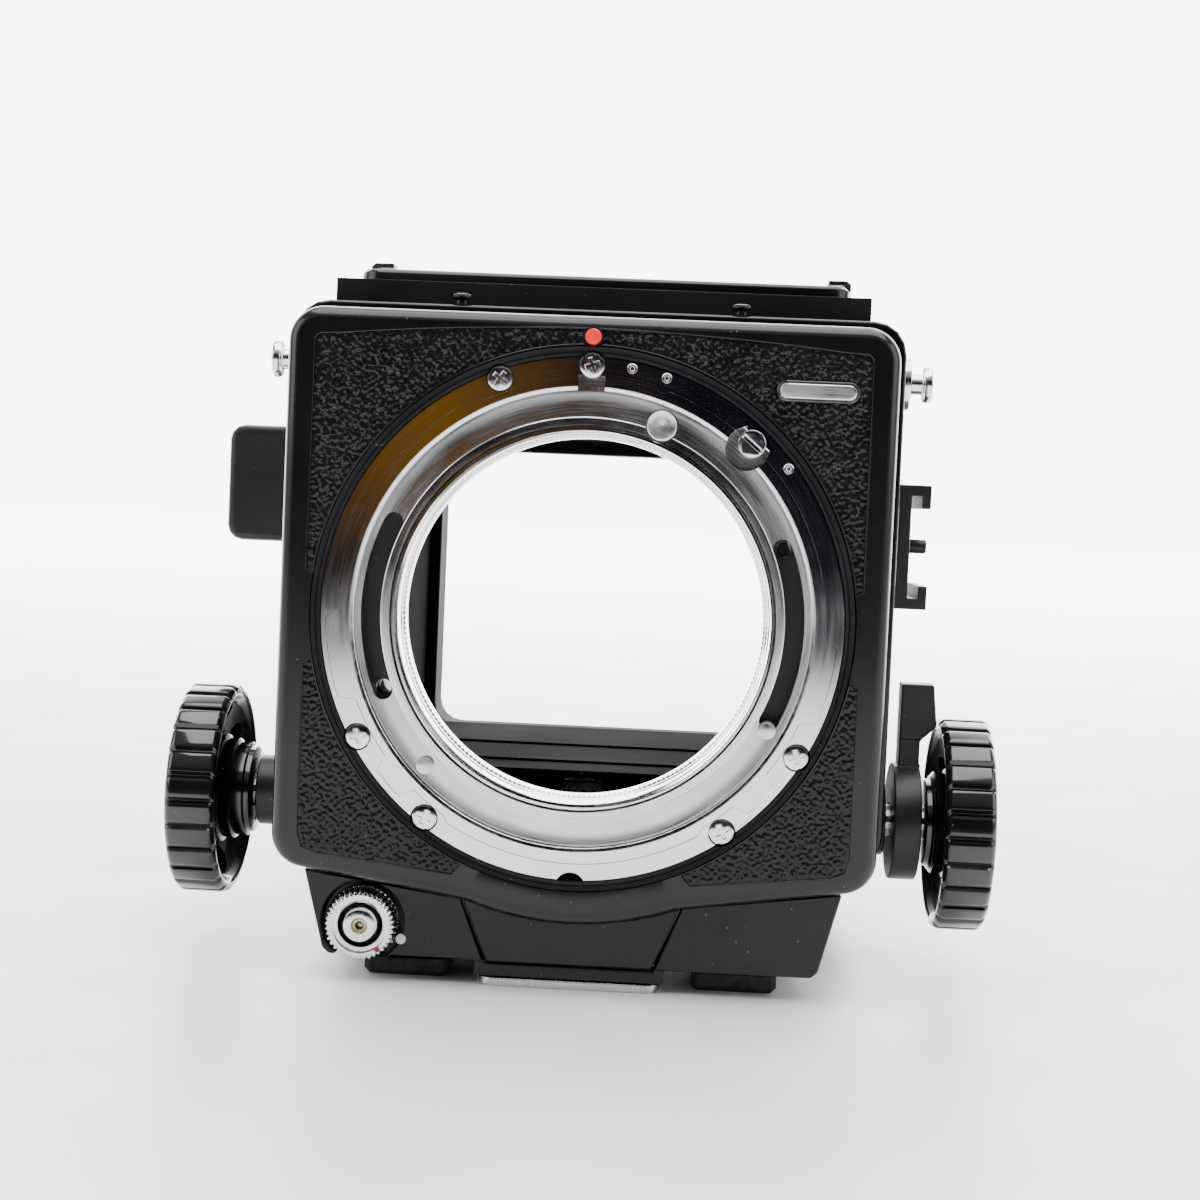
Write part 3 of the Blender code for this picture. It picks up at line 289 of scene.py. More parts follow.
def make_looks():
    painted("gloss_black", (0.003, 0.003, 0.004), (0.006, 0.006, 0.007), (0.16, 0.24), 0.005, 0.35, 0.1)
    painted("satin_black", (0.006, 0.006, 0.007), (0.011, 0.011, 0.012), (0.32, 0.42), 0.010, 0.35)
    painted(
        "matte_black", (0.007, 0.007, 0.008), (0.013, 0.013, 0.014), (0.55, 0.70), 0.012, 0.08, 0.0, 4000.0
    )
    painted("dull_black", (0.001, 0.001, 0.001), (0.002, 0.002, 0.002), (0.8, 0.95), 0.01, 0.03, 0.0, 3500.0)
    painted("knob_black", (0.003, 0.003, 0.004), (0.006, 0.006, 0.007), (0.10, 0.18), 0.004, 0.45, 0.5)
    metal("chrome", (0.74, 0.74, 0.76), (0.86, 0.86, 0.88), (0.10, 0.22), None, 0.001)
    metal(
        "ring_chrome", (0.70, 0.69, 0.69), (0.82, 0.81, 0.81), (0.06, 0.12),
        lambda t: round_lens(t, 3.0, 1500.0), 0.0003
    )
    metal(
        "brushed_chrome", (0.58, 0.57, 0.57), (0.74, 0.73, 0.73), (0.14, 0.24),
        lambda t: round_lens(t, 5.0, 4000.0), 0.0007
    )
    metal("steel", (0.55, 0.54, 0.52), (0.70, 0.69, 0.67), (0.22, 0.38), None, 0.003)
    metal("pin_steel", (0.60, 0.58, 0.55), (0.76, 0.74, 0.71), (0.26, 0.42), None, 0.003)
    metal(
        "plate_steel", (0.60, 0.60, 0.59), (0.75, 0.75, 0.74), (0.20, 0.35),
        lambda t: place(t, (9000, 60, 60)), 0.003
    )
    metal("dark_steel", (0.08, 0.08, 0.085), (0.13, 0.13, 0.135), (0.30, 0.44), None, 0.001)
    metal(
        "badge_silver", (0.72, 0.72, 0.72), (0.86, 0.86, 0.86), (0.24, 0.40),
        lambda t: place(t, (60, 60, 6000)), 0.002
    )
    metal("brass", (0.52, 0.40, 0.20), (0.68, 0.55, 0.30), (0.25, 0.40), None, 0.003)
    plain_colour("index_red", (0.78, 0.012, 0.008), (0.88, 0.035, 0.02), (0.30, 0.45))
    plain_colour("collar_red", (0.20, 0.01, 0.01), (0.32, 0.02, 0.02), (0.35, 0.5))
    plain_colour("cream", (0.62, 0.58, 0.50), (0.76, 0.72, 0.64), (0.4, 0.6))
    leather_look()
    cloth_look()
    rubber_look()
    screen_look()
    mirror_look()


# Shapes

def add_object(name, mesh, matrix=None):
    if matrix:
        mesh.transform(matrix)
    obj = bpy.data.objects.new(name, mesh)
    bpy.context.scene.collection.objects.link(obj)
    return obj


def mesh_from(name, shape):
    """The mesh of a shape whose building is finished."""
    mesh = bpy.data.meshes.new(name)
    shape.to_mesh(mesh)
    shape.free()
    return mesh


def settled(obj):
    """The object with its modifiers made permanent."""
    graph = bpy.context.evaluated_depsgraph_get()
    mesh = bpy.data.meshes.new_from_object(obj.evaluated_get(graph))
    obj.modifiers.clear()
    obj.data = mesh
    return obj


def smooth(obj, angle=32.0):
    obj.data.shade_smooth()
    obj.data.set_sharp_from_angle(angle=math.radians(angle))
    return obj


def cut(obj, *others):
    """Takes the other pieces' shapes away from this one."""
    for other in others:
        modifier = obj.modifiers.new("Boolean", "BOOLEAN")
        modifier.operation = "DIFFERENCE"
        modifier.solver = "EXACT"
        modifier.object = other
    settled(obj)
    for other in others:
        bpy.data.objects.remove(other)
    return obj


def bevel(obj, width, segments=3, angle=35.0, whole=False):
    """Rounds the edges; whole keeps many-sided faces in one piece, which only suits a plain prism."""
    if not whole:
        shape = bmesh.new()
        shape.from_mesh(obj.data)
        wide = [face for face in shape.faces if len(face.verts) > 4]
        bmesh.ops.triangulate(shape, faces=wide)
        shape.to_mesh(obj.data)
        shape.free()
    modifier = obj.modifiers.new("Rounded edges", "BEVEL")
    modifier.width = width * MM
    modifier.segments = segments
    modifier.limit_method = "ANGLE"
    modifier.angle_limit = math.radians(angle)
    modifier.use_clamp_overlap = whole
    return flatten(smooth(settled(obj)))


def flatten(obj):
    """Lets large flat faces set the normals at their edges, so that they stay flat."""
    weighted = obj.modifiers.new("Flat faces stay flat", "WEIGHTED_NORMAL")
    weighted.keep_sharp = True
    weighted.weight = 90
    return settled(obj)


def finish(obj, look, body, replaced=()):
    """Gives the piece its look and body, and hides the CAD nodes that it stands for."""
    obj.data.materials.clear()
    obj.data.materials.append(LOOKS[look])
    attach(obj, body)
    if replaced:
        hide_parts(*replaced)
    return obj


def repaint(node, look):
    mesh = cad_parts[node].data
    mesh.materials.clear()
    mesh.materials.append(LOOKS[look])


def copy_of(node, width=0.0, segments=3, angle=35.0):
    """A new piece with the CAD node's shape, its edges rounded."""
    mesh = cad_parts[node].data.copy()
    obj = add_object("look_" + node, mesh)
    shape = bmesh.new()
    shape.from_mesh(mesh)
    bmesh.ops.remove_doubles(shape, verts=shape.verts, dist=2e-6)
    bmesh.ops.recalc_face_normals(shape, faces=shape.faces)
    shape.to_mesh(mesh)
    shape.free()
    return bevel(obj, width, segments, angle) if width else smooth(obj)


def restyle(node, look, body, width, segments=3, angle=35.0):
    """Puts a copy of the CAD node with rounded edges in its place."""
    finish(copy_of(node, width, segments, angle), look, body, [node])


def block(name, x_span, depth_span, up_span, width=0.0):
    low = at(x_span[0], depth_span[0], up_span[0])
    high = at(x_span[1], depth_span[1], up_span[1])
    shape = bmesh.new()
    bmesh.ops.create_cube(shape, size=1.0)
    bmesh.ops.scale(shape, vec=high - low, verts=shape.verts)
    bmesh.ops.translate(shape, vec=(low + high) / 2, verts=shape.verts)
    obj = add_object(name, mesh_from(name, shape))
    return bevel(obj, width) if width else obj


def cylinder(name, radius, start, end, sides=48):
    axis = end - start
    shape = bmesh.new()
    bmesh.ops.create_cone(
        shape, cap_ends=True, segments=sides, radius1=radius * MM, radius2=radius * MM, depth=axis.length
    )
    turn = Vector((0, 0, 1)).rotation_difference(axis).to_matrix().to_4x4()
    return smooth(add_object(name, mesh_from(name, shape), Matrix.Translation((start + end) / 2) @ turn))


def mesh_of_curve(name, curve):
    guide = bpy.data.objects.new(name, curve)
    bpy.context.scene.collection.objects.link(guide)
    graph = bpy.context.evaluated_depsgraph_get()
    mesh = bpy.data.meshes.new_from_object(guide.evaluated_get(graph))
    bpy.data.objects.remove(guide)
    return mesh


def prism(name, outlines, thickness, matrix):
    curve = bpy.data.curves.new(name, "CURVE")
    curve.dimensions = "2D"
    curve.fill_mode = "BOTH"
    curve.extrude = thickness / 2 * MM
    for outline in outlines:
        spline = curve.splines.new("POLY")
        spline.points.add(len(outline) - 1)
        for point, (u, v) in zip(spline.points, outline):
            point.co = (u * MM, v * MM, 0, 1)
        spline.use_cyclic_u = True
    mesh = mesh_of_curve(name + "_outline", curve)
    shape = bmesh.new()
    shape.from_mesh(mesh)
    bmesh.ops.remove_doubles(shape, verts=shape.verts, dist=1e-6)
    bmesh.ops.dissolve_limit(shape, angle_limit=math.radians(0.3), verts=shape.verts, edges=shape.edges)
    bmesh.ops.recalc_face_normals(shape, faces=shape.faces)
    shape.to_mesh(mesh)
    shape.free()
    return smooth(add_object(name, mesh, matrix))


def front_prism(name, outlines, depth_span):
    middle = (depth_span[0] + depth_span[1]) / 2
    matrix = Matrix.Translation(at(0, middle, 0)) @ FRONT_FACING
    return prism(name, outlines, depth_span[1] - depth_span[0], matrix)


def turned(name, profile, matrix, closed=True, steps=128, teeth=0, tooth=None, angle=32.0):
    """A turned piece. Profile points are (radius, height) or (radius, height, depth of the teeth there)."""
    shape = bmesh.new()
    rings = []
    for point in profile:
        radius, height = point[:2]
        sunk = point[2] if len(point) > 2 else 0.0
        ring = []
        for i in range(steps):
            phase = i * teeth / steps % 1.0
            here = (radius - (sunk * tooth(phase) if sunk else 0.0)) * MM
            turn = 2 * math.pi * i / steps
            ring.append(shape.verts.new((here * math.cos(turn), here * math.sin(turn), height * MM)))
        rings.append(ring)
    pairs = list(zip(rings, rings[1:])) + ([(rings[-1], rings[0])] if closed else [])
    for first, second in pairs:
        for i in range(steps):
            j = (i + 1) % steps
            shape.faces.new((first[i], first[j], second[j], second[i]))
    bmesh.ops.remove_doubles(shape, verts=shape.verts, dist=1e-7)
    bmesh.ops.recalc_face_normals(shape, faces=shape.faces)
    return smooth(add_object(name, mesh_from(name, shape), matrix), angle)


def turned_on_lens(name, profile, centre=(0.0, 0.0), **settings):
    """Profile points are (radius, depth)."""
    matrix = Matrix.Translation(at(centre[0], 0, centre[1])) @ FRONT_FACING
    return turned(name, [(point[0], -point[1], *point[2:]) for point in profile], matrix, **settings)


def turned_on_x(name, profile, centre, side=1, **settings):
    """Profile points are (radius, distance out from the middle of the body)."""
    matrix = Matrix.Translation(at(0, *centre)) @ ALONG_X
    return turned(name, [(point[0], side * point[1], *point[2:]) for point in profile], matrix, **settings)


def peg(name, profile, centre, steps=48):
    """A small solid turned piece that stands on the front; profile points are (radius, depth)."""
    return turned_on_lens(name, profile, centre, closed=False, steps=steps)


def bead(name, outline, radius, depth):
    """A round edge that follows a closed outline, as seen from the front."""
    curve = bpy.data.curves.new(name, "CURVE")
    curve.dimensions = "3D"
    curve.bevel_depth = radius * MM
    curve.bevel_resolution = 3
    spline = curve.splines.new("POLY")
    spline.points.add(len(outline) - 1)
    for point, (x, up) in zip(spline.points, outline):
        point.co = (*at(x, depth, up), 1)
    spline.use_cyclic_u = True
    return smooth(add_object(name, mesh_of_curve(name + "_line", curve)), 60)


# Outlines

def arc(centre, radius, start, end, count):
    angles = [math.radians(start + (end - start) * i / (count - 1)) for i in range(count)]
    return [(centre[0] + radius * math.cos(a), centre[1] + radius * math.sin(a)) for a in angles]


def circle(centre, radius, count=128):
    return arc(centre, radius, 0, 360 * (count - 1) / count, count)


def rounded(x_span, y_span, radius, count=9):
    low_x, high_x = x_span
    low_y, high_y = y_span
    corners = (
        (high_x - radius, low_y + radius, -90), (high_x - radius, high_y - radius, 0),
        (low_x + radius, high_y - radius, 90), (low_x + radius, low_y + radius, 180)
    )
    outline = []
    for x, y, start in corners:
        outline += arc((x, y), radius, start, start + 90, count)
    return outline


def polar(radius, angle):
    turn = math.radians(angle)
    return radius * math.cos(turn), radius * math.sin(turn)


def slot_outline(radii, start, end):
    middle = (radii[0] + radii[1]) / 2
    half = (radii[1] - radii[0]) / 2
    outline = arc((0, 0), radii[1], start, end, 40)
    outline += arc(polar(middle, end), half, end, end + 180, 15)[1:-1]
    outline += arc((0, 0), radii[0], end, start, 40)
    outline += arc(polar(middle, start), half, start + 180, start + 360, 15)[1:-1]
    return outline


def plate_outline():
    side = PLATE_HALF_WIDTH - PLATE_CORNER
    high = PLATE_TOP - PLATE_CORNER
    outline = arc((0, 0), LIP_RADIUS, 270 - LIP_HALF_ANGLE, 270 + LIP_HALF_ANGLE, 33)
    outline += arc((side, PLATE_LOW_CORNER), PLATE_CORNER, -82, 0, 13)
    outline += arc((side, high), PLATE_CORNER, 0, 90, 13)
    outline += arc((-side, high), PLATE_CORNER, 90, 180, 13)
    outline += arc((-side, PLATE_LOW_CORNER), PLATE_CORNER, 180, 262, 13)
    return outline


def leather_top_outline(shrink=0.0):
    ring = BEZEL_RADIUS + 0.35 + shrink
    half = LEATHER_HALF_WIDTH - shrink
    corner, middle = LEATHER_TOP
    end = math.degrees(math.asin((LEATHER_TIPS[0] + shrink) / ring))
    outline = arc((0, 0), ring, 180 - end, end, 97)
    outline += [(half, outline[-1][1] + 0.8)]
    outline += arc((half - 1.6, corner - shrink - 1.3), 1.6, 0, 80, 6)
    count = 25
    for i in range(1, count - 1):
        share = 1 - 2 * i / (count - 1)
        outline.append(((half - 1.0) * share, middle - shrink - (middle - corner) * share**2))
    outline += arc((1.6 - half, corner - shrink - 1.3), 1.6, 100, 180, 6)
    outline += [(-half, outline[0][1] + 0.8)]
    return outline


def leather_low_outline(side, shrink=0.0):
    ring = BEZEL_RADIUS + 0.35 + shrink
    half = LEATHER_HALF_WIDTH - shrink
    start = math.degrees(math.asin((LEATHER_TIPS[1] - shrink) / ring))
    outline = arc((0, 0), ring, start, -66.5 + 3 * shrink, 40)
    outline += [(20.4, -44.6 + shrink), (half - 3.5, -42.2 + shrink)]
    outline += [(half - 0.8, -41.0 + shrink), (half, -38.5), (half, outline[0][1] - 1.0)]
    outline = [(side * x, up) for x, up in outline]
    return outline if side < 0 else outline[::-1]


def leather_outlines(shrink=0.0):
    return {
        "leather_top": leather_top_outline(shrink),
        "leather_lower_left": leather_low_outline(-1, shrink),
        "leather_lower_right": leather_low_outline(1, shrink),
    }


# Leather grain

def pebbles(u, v):
    """Height, 0 to 1, of a leather grain of small wavy pebbles longer than they are tall."""
    waved = v + 0.16 * np.sin(u * 1.9 + np.sin(v * 1.3) * 2.0)
    x = u / 1.35 + 0.12 * np.sin(v * 4.1)
    y = waved / 0.66
    column, row = np.floor(x), np.floor(y)
    nearest = np.full(x.shape, 9.0)
    second = np.full(x.shape, 9.0)
    for across in (-1, 0, 1):
        for along in (-1, 0, 1):
            i, j = column + across, row + along
            jitter_x = np.modf(np.abs(np.sin(i * 127.1 + j * 311.7) * 43758.5453))[0]
            jitter_y = np.modf(np.abs(np.sin(i * 269.5 + j * 183.3) * 43758.5453))[0]
            far = np.hypot(i + 0.15 + 0.7 * jitter_x - x, j + 0.15 + 0.7 * jitter_y - y)
            second = np.minimum(second, np.maximum(nearest, far))
            nearest = np.minimum(nearest, far)
    edge = np.clip((second - nearest) / 0.34, 0, 1)
    return 0.7 * edge * edge * (3 - 2 * edge) + 0.3 * np.clip(1 - nearest**2 * 1.6, 0, 1)


def inside(points, outline):
    """Which points lie inside the outline, and how far from it they are."""
    ring = np.array(outline)
    after = np.roll(ring, -1, axis=0)
    hits = np.zeros(len(points), bool)
    far = np.full(len(points), 1e9)
    for (ax, ay), (bx, by) in zip(ring, after):
        crosses = (ay > points[:, 1]) != (by > points[:, 1])
        if ay != by:
            hits ^= crosses & (points[:, 0] < (bx - ax) * (points[:, 1] - ay) / (by - ay) + ax)
        run = np.array((bx - ax, by - ay))
        share = np.clip(((points - (ax, ay)) @ run) / (run @ run), 0, 1)
        far = np.minimum(far, np.hypot(*(points - (ax, ay) - share[:, None] * run).T))
    return hits, far


def finer(outline, length):
    """The outline with points added so that none are further apart than length."""
    made = []
    for (ax, ay), (bx, by) in zip(outline, outline[1:] + outline[:1]):
        count = max(1, math.ceil(math.hypot(bx - ax, by - ay) / length))
        made += [(ax + (bx - ax) * i / count, ay + (by - ay) * i / count) for i in range(count)]
    return made


def leather(name, outline, matrix, thickness, grain_depth=0.32, spacing=LEATHER_GRAIN):
    """A sheet with a real grain: the outline is (right, up) and the sheet faces out of that plane."""
    edge = finer(outline, spacing)
    low, high = np.min(edge, axis=0), np.max(edge, axis=0)
    u, v = np.meshgrid(np.arange(low[0], high[0], spacing), np.arange(low[1], high[1], spacing))
    u[1::2] += spacing / 2
    grid = np.column_stack((u.ravel(), v.ravel()))
    hits, far = inside(grid, edge)
    grid = grid[hits & (far > 0.6 * spacing)]
    points = [Vector(point) for point in edge] + [Vector(point) for point in grid]
    sides = [(i, (i + 1) % len(edge)) for i in range(len(edge))]
    found, _, faces, _, _, _ = delaunay_2d_cdt(points, sides, [], 1, 1e-6)
    flat = np.array([tuple(point) for point in found])
    _, far = inside(flat, edge)
    relief = np.clip(far / 0.7, 0, 1)
    height = (pebbles(flat[:, 0], flat[:, 1]) - 1) * grain_depth * relief - 0.12 * (1 - relief)
    height += thickness
    mesh = bpy.data.meshes.new(name)
    mesh.from_pydata([(x * MM, y * MM, z * MM) for (x, y), z in zip(flat, height)], [], faces)
    shape = bmesh.new()
    shape.from_mesh(mesh)
    if sum(face.normal.z for face in shape.faces) < 0:
        bmesh.ops.reverse_faces(shape, faces=shape.faces)
    rim = [e for e in shape.edges if e.is_boundary]
    lowered = bmesh.ops.extrude_edge_only(shape, edges=rim)["geom"]
    for vert in (item for item in lowered if isinstance(item, bmesh.types.BMVert)):
        vert.co.z = 0
    bmesh.ops.recalc_face_normals(shape, faces=shape.faces)
    shape.to_mesh(mesh)
    shape.free()
    return smooth(add_object(name, mesh, matrix), 60)


# Small parts

def screw(name, point, facing, radius, height, turn, slotted=False):
    """A countersunk or cheese head with a cross recess; facing turns its +Z out of the surface."""
    matrix = Matrix.Translation(point) @ facing @ Matrix.Rotation(math.radians(turn), 4, "Z")
    profile = [
        (0, 0.02), (radius - 0.35, 0.0), (radius - 0.08, -0.1), (radius, -0.25), (radius, -height),
        (0, -height)
    ]
    head = turned(name, profile, Matrix.Identity(4), closed=False, steps=40)
    reach, thin = radius * 0.58, radius * 0.15
    arms = ((radius * 1.5, thin),) if slotted else ((reach, thin), (thin, reach))
    for i, (half_x, half_y) in enumerate(arms):
        shape = bmesh.new()
        bmesh.ops.create_cube(shape, size=2.0)
        bmesh.ops.scale(shape, vec=(half_x * MM, half_y * MM, min(height, 0.7) * MM), verts=shape.verts)
        cut(head, add_object(f"{name}_recess_{i}", mesh_from(f"{name}_recess_{i}", shape)))
    head.data.transform(matrix)
    return bevel(head, 0.04, 1, 50)


FACING = {
    "front": FRONT_FACING,
    "rear": Matrix.Rotation(math.radians(-90), 4, "X"),
    "right": Matrix.Rotation(math.radians(90), 4, "Y"),
    "left": Matrix.Rotation(math.radians(-90), 4, "Y"),
    "top": Matrix.Identity(4),
    "bottom": Matrix.Rotation(math.radians(180), 4, "X"),
}


def screws(prefix, spots, facing, radius, body, look="dark_steel"):
    for i, (x, depth, up) in enumerate(spots):
        turn = 37.0 * i + 15.0
        head = screw(f"{prefix}_{i + 1}", at(x, depth, up), FACING[facing], radius, 0.5, turn)
        finish(head, look, body)


# Lens mount

def ring_edge_outline(offset):
    """The retaining ring's inner edge, with its steps rounded a little."""
    outline = []
    edge = [(start, radius) for start, radius in RING_EDGE]
    for (start, radius), (end, following) in zip(edge, edge[1:]):
        count = max(3, int((end - start) / 1.5))
        outline += arc((0, 0), radius + offset, start + 0.9, end - 0.9, count)
        middle = (radius + following) / 2 + offset
        outline.append(polar(middle, end - 0.1))
    return outline


def screw_seats(name, depth=1.9):
    seats = []
    for i, angle in enumerate(SCREW_ANGLES):
        x, up = polar(SCREW_CIRCLE, angle)
        seats.append(cylinder(f"{name}_{i}", SCREW_RADIUS + 0.18, at(x, -1, up), at(x, depth, up)))
    return seats


def make_bezel():
    profile = [
        (44.75, 0.25), (44.95, 0.05), (45.1, 0.05), (45.2, 0.22), (45.3, 0.22), (45.4, 0.0), (45.75, 0.0),
        (46.05, 0.15), (46.2, 0.6), (46.2, 6.0), (44.6, 6.0), (44.6, 0.6)
    ]
    bezel = turned_on_lens("look_bezel_ring", profile, steps=240)
    cut(bezel, *screw_seats("bezel_seat", 2.6))
    smooth(bezel)
    finish(bezel, "matte_black", "front_standard", ["bezel_ring"])


def port_bore(name, rear=4.0):
    x, up = polar(PORT_CIRCLE, PORT_ANGLE)
    return cylinder(name, PORT_RADIUS, at(x, -1, up), at(x, rear, up), 64)


def floor_cutters(rear=6.6):
    cutters = [port_bore("floor_port", 4.2)]
    for i, (start, end) in enumerate(SLOT_ARCS):
        cutters.append(front_prism(f"floor_slot_{i}", [slot_outline(SLOT_RADII, start, end)], (0, 7)))
    x, up = polar(PIN_CIRCLE, PIN_ANGLE)
    cutters.append(cylinder("floor_pin", PIN_RADIUS + 0.15, at(x, -1, up), at(x, rear, up), 64))
    return cutters


def keyway(name):
    return block(name, (-2.3, 2.3), (0, 2.1), (37.0, 41.4))


def make_flange():
    body = "front_standard"
    ring = front_prism(
        "retaining_ring", [circle((0, 0), RING_RADIUS, 240), ring_edge_outline(0.05)], (0.75, 1.9)
    )
    x, up = 0, -RING_RADIUS - 1.3
    notch = cylinder("ring_notch", 2.65, at(x, -1, up), at(x, 2.5, up))
    holes = []
    for i, angle in enumerate(RIVET_ANGLES):
        x, up = polar(RIVET_CIRCLE, angle)
        holes.append(cylinder(f"rivet_seat_{i}", 0.95, at(x, -1, up), at(x, 3, up), 24))
    cut(ring, notch, port_bore("ring_port"), *holes, *screw_seats("ring_seat"), keyway("ring_keyway"))
    finish(smooth(ring), "ring_chrome", body, ["mount_flange"])

    seat = front_prism(
        "lens_seat", [ring_edge_outline(-0.05), circle((0, 0), STEP_RADIUS + 0.3, 200)], (0.82, 2.0)
    )
    cut(seat, port_bore("seat_port"), *screw_seats("seat_seat"), keyway("seat_keyway"))
    finish(smooth(seat), "ring_chrome", body)

    chamfer = [
        (STEP_RADIUS + 0.45, 0.85), (STEP_RADIUS + 0.1, 0.85), (STEP_RADIUS - 0.3, 0.98),
        (STEP_RADIUS - 0.4, 1.1), (STEP_RADIUS - 0.4, 2.6), (STEP_RADIUS + 0.4, 2.6)
    ]
    step = turned_on_lens("lens_step", chamfer, steps=240)
    cut(step, port_bore("step_port"), keyway("step_keyway"))
    finish(smooth(step), "chrome", body)

    floor = [
        (STEP_RADIUS - 0.3, 2.2), (38.8, 2.2), (38.4, 2.24), (38.0, 2.275), (37.6, 2.305), (37.2, 2.33),
        (36.8, 2.345), (36.4, 2.35), (34.5, 2.35), (34.4, 2.25), (34.2, 2.2), (INNER_RADIUS + 0.1, 2.2),
        (INNER_RADIUS, 2.35), (INNER_RADIUS, 5.7), (42.6, 5.7), (42.6, 2.2), (STEP_RADIUS, 2.2)
    ]
    flange = turned_on_lens("mount_floor", floor, steps=240)
    cut(flange, *floor_cutters())
    finish(smooth(flange), "brushed_chrome", body)


def make_rivets():
    for i, angle in enumerate(RIVET_ANGLES):
        profile = [
            (0, 0.75), (0.35, 0.75), (0.45, 0.85), (0.5, 1.1), (0.62, 1.1), (0.72, 0.78), (0.88, 0.72),
            (0.9, 1.6), (0, 1.6)
        ]
        pin = peg(f"mount_rivet_{i + 1}", profile, polar(RIVET_CIRCLE, angle), 32)
        finish(pin, "chrome", "front_standard")


def make_fixed_pins():
    for i, (radius, angle) in enumerate(FIXED_PINS):
        x, up = polar(radius, angle)
        profile = [(0, 1.0), (1.2, 1.0), (1.45, 1.12), (1.5, 1.35), (1.5, 4.0), (0, 4.0)]
        pin = peg(f"fixed_pin_{i + 1}", profile, (x, up))
        finish(pin, "pin_steel", "front_standard")


def make_port():
    """What shows inside the round port: a slotted latch end in a dark hole."""
    x, up = polar(PORT_CIRCLE + 1.2, PORT_ANGLE)
    latch = cylinder("port_latch", 2.35, at(x, 1.5, up), at(x, 4.0, up), 48)
    slot = block("port_slot", (-1.9, 1.9), (0, 2.1), (-0.35, 0.35))
    slot.data.transform(Matrix.Translation(-at(0, 0, 0)))
    slot.data.transform(Matrix.Translation(at(x, 0, up)) @ Matrix.Rotation(math.radians(40), 4, "Y"))
    cut(latch, slot)
    finish(bevel(latch, 0.12, 2), "chrome", "front_standard")


def make_throat():
    profile = [
        (32.75, 2.9), (32.6, 2.75), (32.35, 2.75), (32.2, 2.95), (31.9, 4.2), (31.75, 4.3), (31.7, 4.6),
        (31.8, 4.7), (31.6, 7.6), (31.45, 7.7), (31.4, 8.0), (31.5, 8.1), (31.35, 9.0), (31.2, 9.1),
        (31.15, 9.5), (31.0, 12.0), (41.2, 12.0), (41.2, 9.3), (32.75, 9.3)
    ]
    throat = turned_on_lens("look_throat_ring", profile, steps=240, angle=20)
    finish(throat, "ring_chrome", "front_standard", ["throat_ring"])
    teeth = 220
    serration = [(31.4, 9.15), (31.05, 9.2, -0.14), (31.05, 10.1, -0.14), (31.4, 10.2)]
    ring = turned_on_lens(
        "throat_serration", serration, steps=teeth * 4, teeth=teeth,
        tooth=lambda p: 1.0 if p < 0.5 else 0.0
    )
    finish(ring, "ring_chrome", "front_standard")


def make_mount_screws():
    for i, (angle, turn) in enumerate(zip(SCREW_ANGLES, SCREW_TURNS)):
        x, up = polar(SCREW_CIRCLE, angle)
        head = screw(
            f"look_mount_screw_{i + 1}", at(x, 0.72, up), FACING["front"], SCREW_RADIUS - 0.02, 1.5, turn
        )
        finish(head, "chrome", "front_standard", [f"mount_screw_{i + 1}"])


def make_cocking_ring():
    outline = []
    for start, end in SLOT_ARCS[::-1]:
        low, high = start - 4, end + 4
        outline += arc((0, 0), 34.2, low, high, 40)
        outline += arc((0, 0), 39.4, high + 3, high + 125, 60)
    holes = [circle(polar(36.5, angle), 1.38, 32) for angle in (21.5, 201.5)]
    ring = front_prism("look_cocking_ring", [circle((0, 0), 42.3, 200), outline, *holes], (6.1, 8.6))
    finish(bevel(ring, 0.12, 2), "satin_black", "cocking_ring", ["cocking_ring"])


def make_shutter_pin():
    x, up = polar(PIN_CIRCLE, PIN_ANGLE)
    profile = [
        (0, 1.12), (0.25, 1.05), (1.3, 0.97), (2.3, 0.92), (2.42, 0.84), (2.55, 0.88), (2.6, 1.1),
        (2.6, 13.5), (0, 13.5)
    ]
    pin = peg("look_shutter_pin", profile, (x, up), 64)
    finish(pin, "pin_steel", "shutter_pin", ["shutter_pin"])


# Front standard

def make_front_plate():
    plate = front_prism("look_front_plate", [plate_outline()], (PLATE_FRONT, PLATE_REAR))
    bevel(plate, 2.4, 8, 50, whole=True)
    edges = leather_outlines()
    recess = (0, PLATE_FRONT + LEATHER_RECESS)
    cut(
        plate, front_prism("plate_bezel_seat", [circle((0, 0), BEZEL_RADIUS + 0.3, 240)], (0, 6.3)),
        front_prism("plate_ring_seat", [circle((0, 0), SEAT_RADIUS)], (5, 10)),
        front_prism("plate_cavity", [rounded((-47.5, 47.5), (-41.5, 48.0), 4)], (9, 23)),
        *[front_prism(node + "_recess", [edge], recess) for node, edge in edges.items()]
    )
    finish(flatten(smooth(plate)), "gloss_black", "front_standard", ["front_plate"])
    for node, edge in edges.items():
        rim = bead("recess_edge_" + node.split("_")[-1], edge, 0.22, PLATE_FRONT + 0.2)
        finish(rim, "gloss_black", "front_standard")


def make_leathers():
    matrix = Matrix.Translation(at(0, PLATE_FRONT + LEATHER_RECESS, 0)) @ FRONT_FACING
    for node, outline in leather_outlines(0.2).items():
        sheet = leather("look_" + node, outline, matrix, 0.78)
        finish(sheet, "leather", "front_standard", [node])
    profile = [(0, 0.42), (0.9, 0.44), (1.25, 0.55), (1.4, 0.75), (1.4, 1.6), (0, 1.6)]
    dot = peg("look_index_dot", profile, (0, DOT_HEIGHT), 64)
    finish(dot, "index_red", "front_standard", ["index_dot"])
    rim = [(1.42, 1.0), (1.5, 0.9), (1.72, 0.95), (1.8, 1.3), (1.8, 1.7), (1.42, 1.7)]
    finish(turned_on_lens("dot_rim", rim, (0, DOT_HEIGHT), steps=64), "matte_black", "front_standard")


